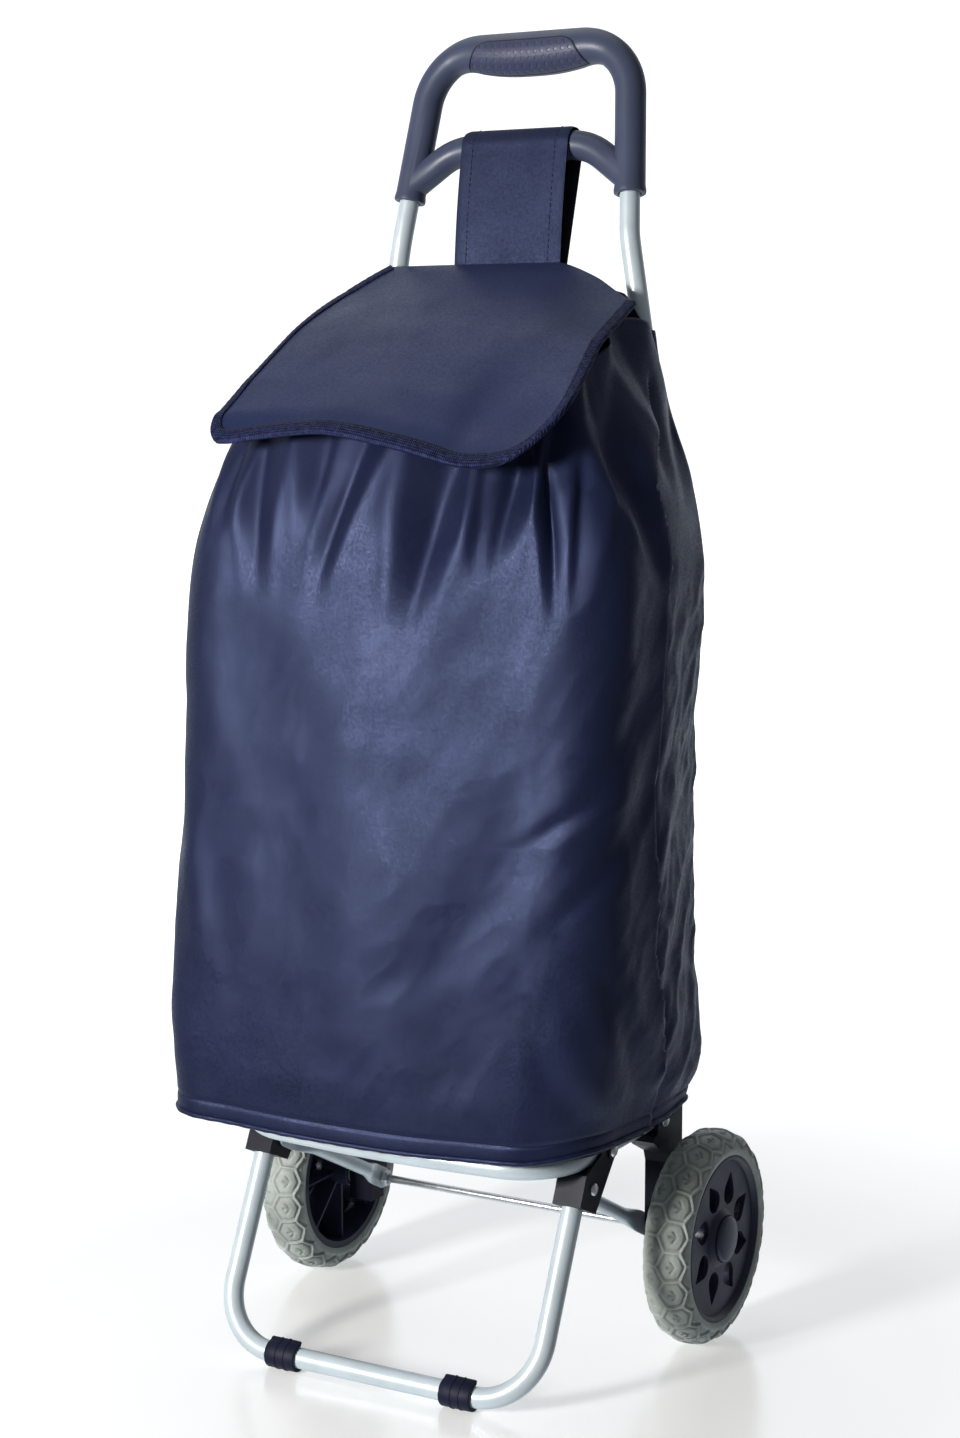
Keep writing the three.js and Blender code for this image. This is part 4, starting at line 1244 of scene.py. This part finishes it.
class Polygon:
    """A closed outline; depth says how far inside it a point lies."""

    def __init__(self, points):
        self.a = np.asarray(points, float)
        self.b = np.roll(self.a, -1, axis=0)

    def depth(self, x, y):
        a, b = self.a, self.b
        way = b - a
        t = np.clip(((x - a[:, 0]) * way[:, 0] + (y - a[:, 1]) * way[:, 1])
                    / np.maximum((way**2).sum(1), 1e-9), 0, 1)
        near = np.hypot(a[:, 0] + t * way[:, 0] - x, a[:, 1] + t * way[:, 1] - y).min()
        spans = (a[:, 1] > y) != (b[:, 1] > y)
        with np.errstate(divide="ignore", invalid="ignore"):
            at = a[:, 0] + (y - a[:, 1]) / (b[:, 1] - a[:, 1]) * way[:, 0]
        return near if np.count_nonzero(spans & (x < at)) % 2 else -near


def lid_normal(x, y):
    e = 0.5
    dzdx = (lid_height(x + e, y) - lid_height(x - e, y)) / (2 * e)
    dzdy = (lid_height(x, y + e) - lid_height(x, y - e)) / (2 * e)
    n = np.stack([-dzdx, -dzdy, np.ones_like(dzdx)], 1)
    return n / np.linalg.norm(n, axis=1)[:, None]


def over_lid(flat, lift):
    """Points at a plan position, raised off the lid's surface by lift."""
    z = lid_height(flat[:, 0], flat[:, 1])
    n = lid_normal(flat[:, 0], flat[:, 1])
    return np.column_stack([flat, z]) + n * np.asarray(lift).reshape(-1, 1)


def lid_sheet():
    """Two fabric faces joined round the edge, slightly puffed between."""
    border = np.vstack([rim + INWARD * 2.5, lid_back()])
    n = len(border)
    inside = Polygon(border)
    grid = [(x, y) for x in np.arange(-140, 144, 4.0) for y in np.arange(-203, -10, 4.0)
            if inside.depth(x, y) > 2.5]
    flat = np.vstack([border, np.array(grid)])
    edges = [(i, (i + 1) % n) for i in range(n)]
    cut = delaunay_2d_cdt([Vector(p) for p in flat], edges, [], 1, 1e-5)
    assert len(cut[0]) == len(flat)
    tri = [tuple(f) for f in cut[2]]
    a, b, c = (flat[list(t)] for t in zip(*[(f[0], f[1], f[2]) for f in tri]))
    turn = np.cross(b - a, c - a)
    tri = [f if t > 0 else tuple(reversed(f)) for f, t in zip(tri, turn)]
    deep = np.array([inside.depth(x, y) for x, y in flat])
    top = over_lid(flat, 0.8 + 0.6 * smoothstep(deep, 0, 14))
    under = over_lid(flat, np.full(len(flat), -0.9))
    low = len(flat)
    faces = tri + [tuple(low + i for i in reversed(f)) for f in tri]
    area = (border[:, 0] * np.roll(border[:, 1], -1) - border[:, 1] * np.roll(border[:, 0], -1)).sum()
    for i, j in edges:
        faces.append((j, i, low + i, low + j) if area > 0 else (i, j, low + j, low + i))
    return np.vstack([top, under]), faces


lid = piece("lid_flap", *lid_sheet(), LID_FABRIC_PAINTED_LIGHT, "lid", "bag_lid", "bag_fabric", sharp=60)


def binding():
    """A woven tape folded over the lid's edge."""
    section = [(BAND, -1.0), (BAND - 0.3, -1.7), (4, -1.9), (1.0, -1.8), (0.1, -1.4), (-0.3, -0.5),
               (-0.3, 0.6), (0.1, 1.6), (1.0, 2.1), (4, 2.3), (BAND - 0.4, 2.1), (BAND, 1.2)]
    loops = []
    for i in range(len(rim)):
        ripple = 0.12 * math.sin(i * 2.1)
        flat = np.array([rim[i] + INWARD[i] * inset for inset, _ in section])
        lifts = np.array([h + ripple * (h > 0) for _, h in section])
        loops.append(over_lid(flat, lifts))
    return rings(loops)


piece("lid_edge_tape", *binding(), TAPE, "lid", "lid_binding", "binding_tape", sharp=60)

# ---- strap ----------------------------------------------------------------------------------

STRAP_HALF = 44.5
bar_y = on_arm(BAR_Z).y


def strap_line(radius, back_z=770.0):
    """The strap's path in the YZ plane: up the front, over the bar, and down behind."""
    front = (-9.6 + (13.6 - radius), 789.0)
    over = [(bar_y + radius * math.cos(a), BAR_Z + radius * math.sin(a))
            for a in np.linspace(math.pi, 0, 22)]
    back = [(mix(bar_y + radius, -3.6 + (radius - 13.6), t), mix(BAR_Z, back_z, t))
            for t in np.linspace(0.08, 1, 14)]
    first = over[0]
    rise = [(mix(front[0], first[0], t) - 1.6 * math.sin(math.pi * t),
             mix(front[1], first[1], t)) for t in np.linspace(0, 0.94, 14)]
    return np.array(rise + over + back)


def strap():
    outer, inner = strap_line(13.6), strap_line(11.7)
    n = len(outer)
    cols = np.linspace(-1, 1, 33)
    soft = np.clip(np.abs(cols), 0, 1)
    points = []
    for line, out in ((outer, 1), (inner, -1)):
        for i in range(n):
            for u, s in zip(cols, soft):
                edge = 0.75 * max(0.0, (s - 0.965) / 0.035)
                seam = 0.35 * math.exp(-((abs(u) * STRAP_HALF - 34.5) / 1.0) ** 2)
                pull = (edge + (seam if out > 0 else 0)) * out
                mid = (outer[i] + inner[i]) / 2
                way = line[i] - mid
                way = way / np.hypot(*way)
                belly = 0.5 * math.sin(i * 0.55 + u * 2.1) * (out > 0) * (1 - s) * (i < 13)
                p = line[i] - way * (pull * out - belly)
                points.append((u * STRAP_HALF, p[0], p[1]))
    w = len(cols)
    faces, m = [], n * w
    for i in range(n - 1):
        for j in range(w - 1):
            a = i * w + j
            faces.append((a, a + 1, a + w + 1, a + w))
            faces.append((m + a, m + a + w, m + a + w + 1, m + a + 1))
    for i in range(n - 1):
        a, b = i * w, i * w + w - 1
        faces.append((a, a + w, m + a + w, m + a))
        faces.append((b + w, b, m + b, m + b + w))
    for j in range(w - 1):
        a, b = j, (n - 1) * w + j
        faces.append((a + 1, a, m + a, m + a + 1))
        faces.append((b, b + 1, m + b + 1, m + b))
    return np.array(points), faces, m


strap_points, strap_faces, strap_split = strap()
strap_piece = piece("strap_loop_band", strap_points, strap_faces, [STRAP_FABRIC, LINING], "frame",
                    "bag_strap", "bag_fabric", sharp=60)
for poly in strap_piece.data.polygons:
    if all(v >= strap_split for v in poly.vertices):
        poly.material_index = 1


def stitches(runs, long=3.0, gap=1.3, fat=0.42):
    """Runs of thread: each run is a list of points with the surface's outward normals."""
    parts = []
    for points, normals in runs:
        points, normals = np.asarray(points, float), np.asarray(normals, float)
        step = np.concatenate([[0], np.cumsum(np.linalg.norm(np.diff(points, axis=0), axis=1))])
        count = int(step[-1] // (long + gap))
        for k in range(count):
            s = k * (long + gap) + gap
            ends = [np.array([np.interp(s + d, step, points[:, a]) for a in range(3)])
                    for d in (0, long)]
            n = np.array([np.interp(s + long / 2, step, normals[:, a]) for a in range(3)])
            n /= np.linalg.norm(n)
            way = ends[1] - ends[0]
            way /= np.linalg.norm(way)
            side = np.cross(way, n)
            loops = []
            for t, size, lift in ((0.0, 0.3, -0.15), (0.15, 0.85, 0.08), (0.5, 1.0, 0.22),
                                  (0.85, 0.85, 0.08), (1.0, 0.3, -0.15)):
                mid = mix(ends[0], ends[1], t) + n * lift
                turn = whole_turn(6)[:, None]
                loops.append(mid + fat * size * (np.cos(turn) * side + 0.8 * np.sin(turn) * n))
            parts.append(rings(loops))
    return joined(*parts)


line = strap_line(13.6)
tangent = np.gradient(line, axis=0)
outward = np.stack([-tangent[:, 1], tangent[:, 0]], 1)
outward /= np.hypot(*outward.T)[:, None]
if outward[3][0] > 0:
    outward = -outward
runs = []
for x in (-34.5, 34.5):
    pts = [(x, y, z) for y, z in line]
    runs.append((pts, [(0, a, b) for a, b in outward]))
piece("strap_stitches", *stitches(runs), THREAD, "frame", slot="bag_fabric", sharp=60)

inner_line = rim[4:-4] + INWARD[4:-4] * (BAND - 1.6)
tape_run = over_lid(inner_line, np.full(len(inner_line), 2.15))
tape_normals = lid_normal(inner_line[:, 0], inner_line[:, 1])
piece("lid_stitches", *stitches([(tape_run, tape_normals)], 2.2, 1.1, 0.36), THREAD, "lid",
      slot="binding_tape", sharp=60)

# ---- loops round the uprights -----------------------------------------------------------------


def upright_at(z):
    t = max(0.0, (z - RAIL_TOP) / (NECK.z - RAIL_TOP))
    return mix(RAIL_X, NECK.x, t), NECK.y * t


def upright_loop(z0, z1, reach, wrap=9.3, hold=7.9, rows=12):
    """A strip sewn to the bag's back on both sides of an upright."""
    centre = upright_at((z0 + z1) / 2)[1]
    back = -7.6

    def arc(r, a0, a1):
        return [(r * math.cos(math.radians(a)), centre + r * math.sin(math.radians(a)))
                for a in np.linspace(a0, a1, 26)]

    outline = ([(reach, back), (reach + 0.3, back + 0.7), (reach, back + 1.4)]
               + arc(wrap, -42, 222)
               + [(-reach, back + 1.4), (-reach - 0.3, back + 0.7), (-reach, back)]
               + [(-6.9, back)] + arc(hold, 228, -48) + [(6.9, back)])
    loops = []
    for k in range(rows):
        t = k / (rows - 1)
        z = mix(z0, z1, t)
        x0 = upright_at(z)[0]
        thin = 0.25 if k in (0, rows - 1) else 0.0
        loops.append(np.array([
            (x0 + x, y - thin * (y > centre) + 0.25 * math.sin(7 * t + x), z) for x, y in outline
        ]))
    return rings(loops)


pair("upper_loop_strip", upright_loop(726, 748, 12), STRAP_FABRIC, "frame", "loop_upper",
     "bag_fabric", sharp=50)
pair("lower_loop_strip", upright_loop(385, 435, 18, rows=20), WEBBING, "frame", "loop_lower",
     "webbing", sharp=50)

# ---- the fabric pieces get meshes of their own --------------------------------------------------

for name in ("bag_walls", "bag_edge_roll", "bag_fold_shadow_line", "lid_flap", "lid_edge_tape", "lid_stitches"):
    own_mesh(bpy.data.objects[name])

# ---- made: the scene's objects -----------------------------------------------------------------

made = bpy.data.objects

# ---- studio -------------------------------------------------------------------------------------

azimuth, pitch, roll = (math.radians(a) for a in (29.508, 7.564, 0.0202))
level_ahead = Vector((-math.sin(azimuth), math.cos(azimuth), 0))


def backdrop(name, loops, material):
    """A stage mesh of rings, that neither lights the object nor shows in it."""
    mesh = new_mesh(name, *rings(loops, caps=False))
    mesh.shade_smooth()
    mesh.materials.append(material)
    made = in_scene(name, mesh)
    made.visible_diffuse = made.visible_glossy = made.visible_shadow = False


def circle_at(radius, height, count=64):
    turn = whole_turn(count)
    return np.stack([radius * np.cos(turn), radius * np.sin(turn), np.full(count, height)], 1)


ground = Finish("studio_floor", Specular_IOR_Level=1.0, Metallic=0.1, Emission_Color=(1, 0.985, 0.965, 1))
ground.colour(ground.noise(0.8, 2), (0.3, (0.87, 0.855, 0.84)), (0.7, (0.9, 0.885, 0.87)))
ground.rough(ground.spread(ground.noise(2.0, 3), 0.16, 0.22))
# the floor glows less near the object: painted shade round it, and white far off
away = ground.node("VectorMath", {0: ground.place}, operation="LENGTH").outputs["Value"]
glow = ground.spread(away, 0.4, 1.1, (0.35, 1.4))
ground.tree.links.new(glow, ground.surface.inputs["Emission Strength"])
backdrop("studio_floor", [circle_at(r, 0) for r in (1e-4, 1, 2, 4, 8, 16)], ground.material)
sky = Finish("studio_backdrop", Emission_Color=(1, 1, 1, 1), Emission_Strength=1.0)
sky.colour(sky.noise(0.3, 1), (0.3, (0.9, 0.9, 0.9)), (0.7, (1, 1, 1)))
backdrop("studio_backdrop", [circle_at(15.9 * math.cos(a), 15.9 * math.sin(a) - 0.01)
                             for a in np.linspace(0, math.pi / 2 - 0.01, 14)], sky.material)

# the room that lights the object: dim in front, pale behind it and below
world = bpy.data.worlds.new("studio")
bpy.context.scene.world = world
world.use_nodes = True
nodes, links = world.node_tree.nodes, world.node_tree.links
way = nodes.new("ShaderNodeTexCoord")
facing = nodes.new("ShaderNodeVectorMath")
facing.operation = "DOT_PRODUCT"
facing.inputs[1].default_value = level_ahead
links.new(way.outputs["Generated"], facing.inputs[0])
split = nodes.new("ShaderNodeSeparateXYZ")
links.new(way.outputs["Generated"], split.inputs[0])
both = nodes.new("ShaderNodeMath")
gradients = ((facing.outputs["Value"], (0.3, 0.95, 0.13, 0.85)),
             (split.outputs["Z"], (-0.55, -0.9, 0, 0.75)))
for place, (source, span) in enumerate(gradients):
    gradient = nodes.new("ShaderNodeMapRange")
    for key, value in zip((1, 2, 3, 4), span):
        gradient.inputs[key].default_value = value
    links.new(source, gradient.inputs[0])
    links.new(gradient.outputs[0], both.inputs[place])
links.new(both.outputs[0], nodes["Background"].inputs["Strength"])
nodes["Background"].inputs["Color"].default_value = (0.86, 0.93, 1, 1)


def softbox(name, energy, place, target, wide, high):
    data = bpy.data.lights.new(name, "AREA")
    data.energy, data.shape = energy, "RECTANGLE"
    data.size, data.size_y = wide, high
    made = in_scene(name, data)
    made.location = place
    made.rotation_mode = "QUATERNION"
    made.rotation_quaternion = (Vector(target) - Vector(place)).to_track_quat("-Z", "Y")


softbox("key_softbox", 66, (-0.82, -2.36, 0.88), (0, -0.1, 0.6), 0.42, 0.55)
softbox("top_softbox", 5, (-0.45, 0.3, 2.3), (0, 0, 0.5), 1.3, 1.3)

camera = bpy.data.cameras.new("camera")
camera.lens, camera.sensor_width = 63.92, 36
camera.clip_start, camera.clip_end = 0.05, 200
seen = in_scene("camera", camera)
level_right = Vector((math.cos(azimuth), math.sin(azimuth), 0))
ahead = level_ahead * math.cos(pitch) - Vector((0, 0, math.sin(pitch)))
upward = Vector((0, 0, math.cos(pitch))) + level_ahead * math.sin(pitch)
right = level_right * math.cos(roll) + upward * math.sin(roll)
up = upward * math.cos(roll) - level_right * math.sin(roll)
seen.matrix_world = Matrix((
    (right.x, up.x, -ahead.x, 0.9249),
    (right.y, up.y, -ahead.y, (-1682.05 + AXLE_Y) / 1000),
    (right.z, up.z, -ahead.z, 0.71233),
    (0, 0, 0, 1),
))
bpy.context.scene.camera = seen
bpy.context.scene.view_settings.view_transform = "Standard"
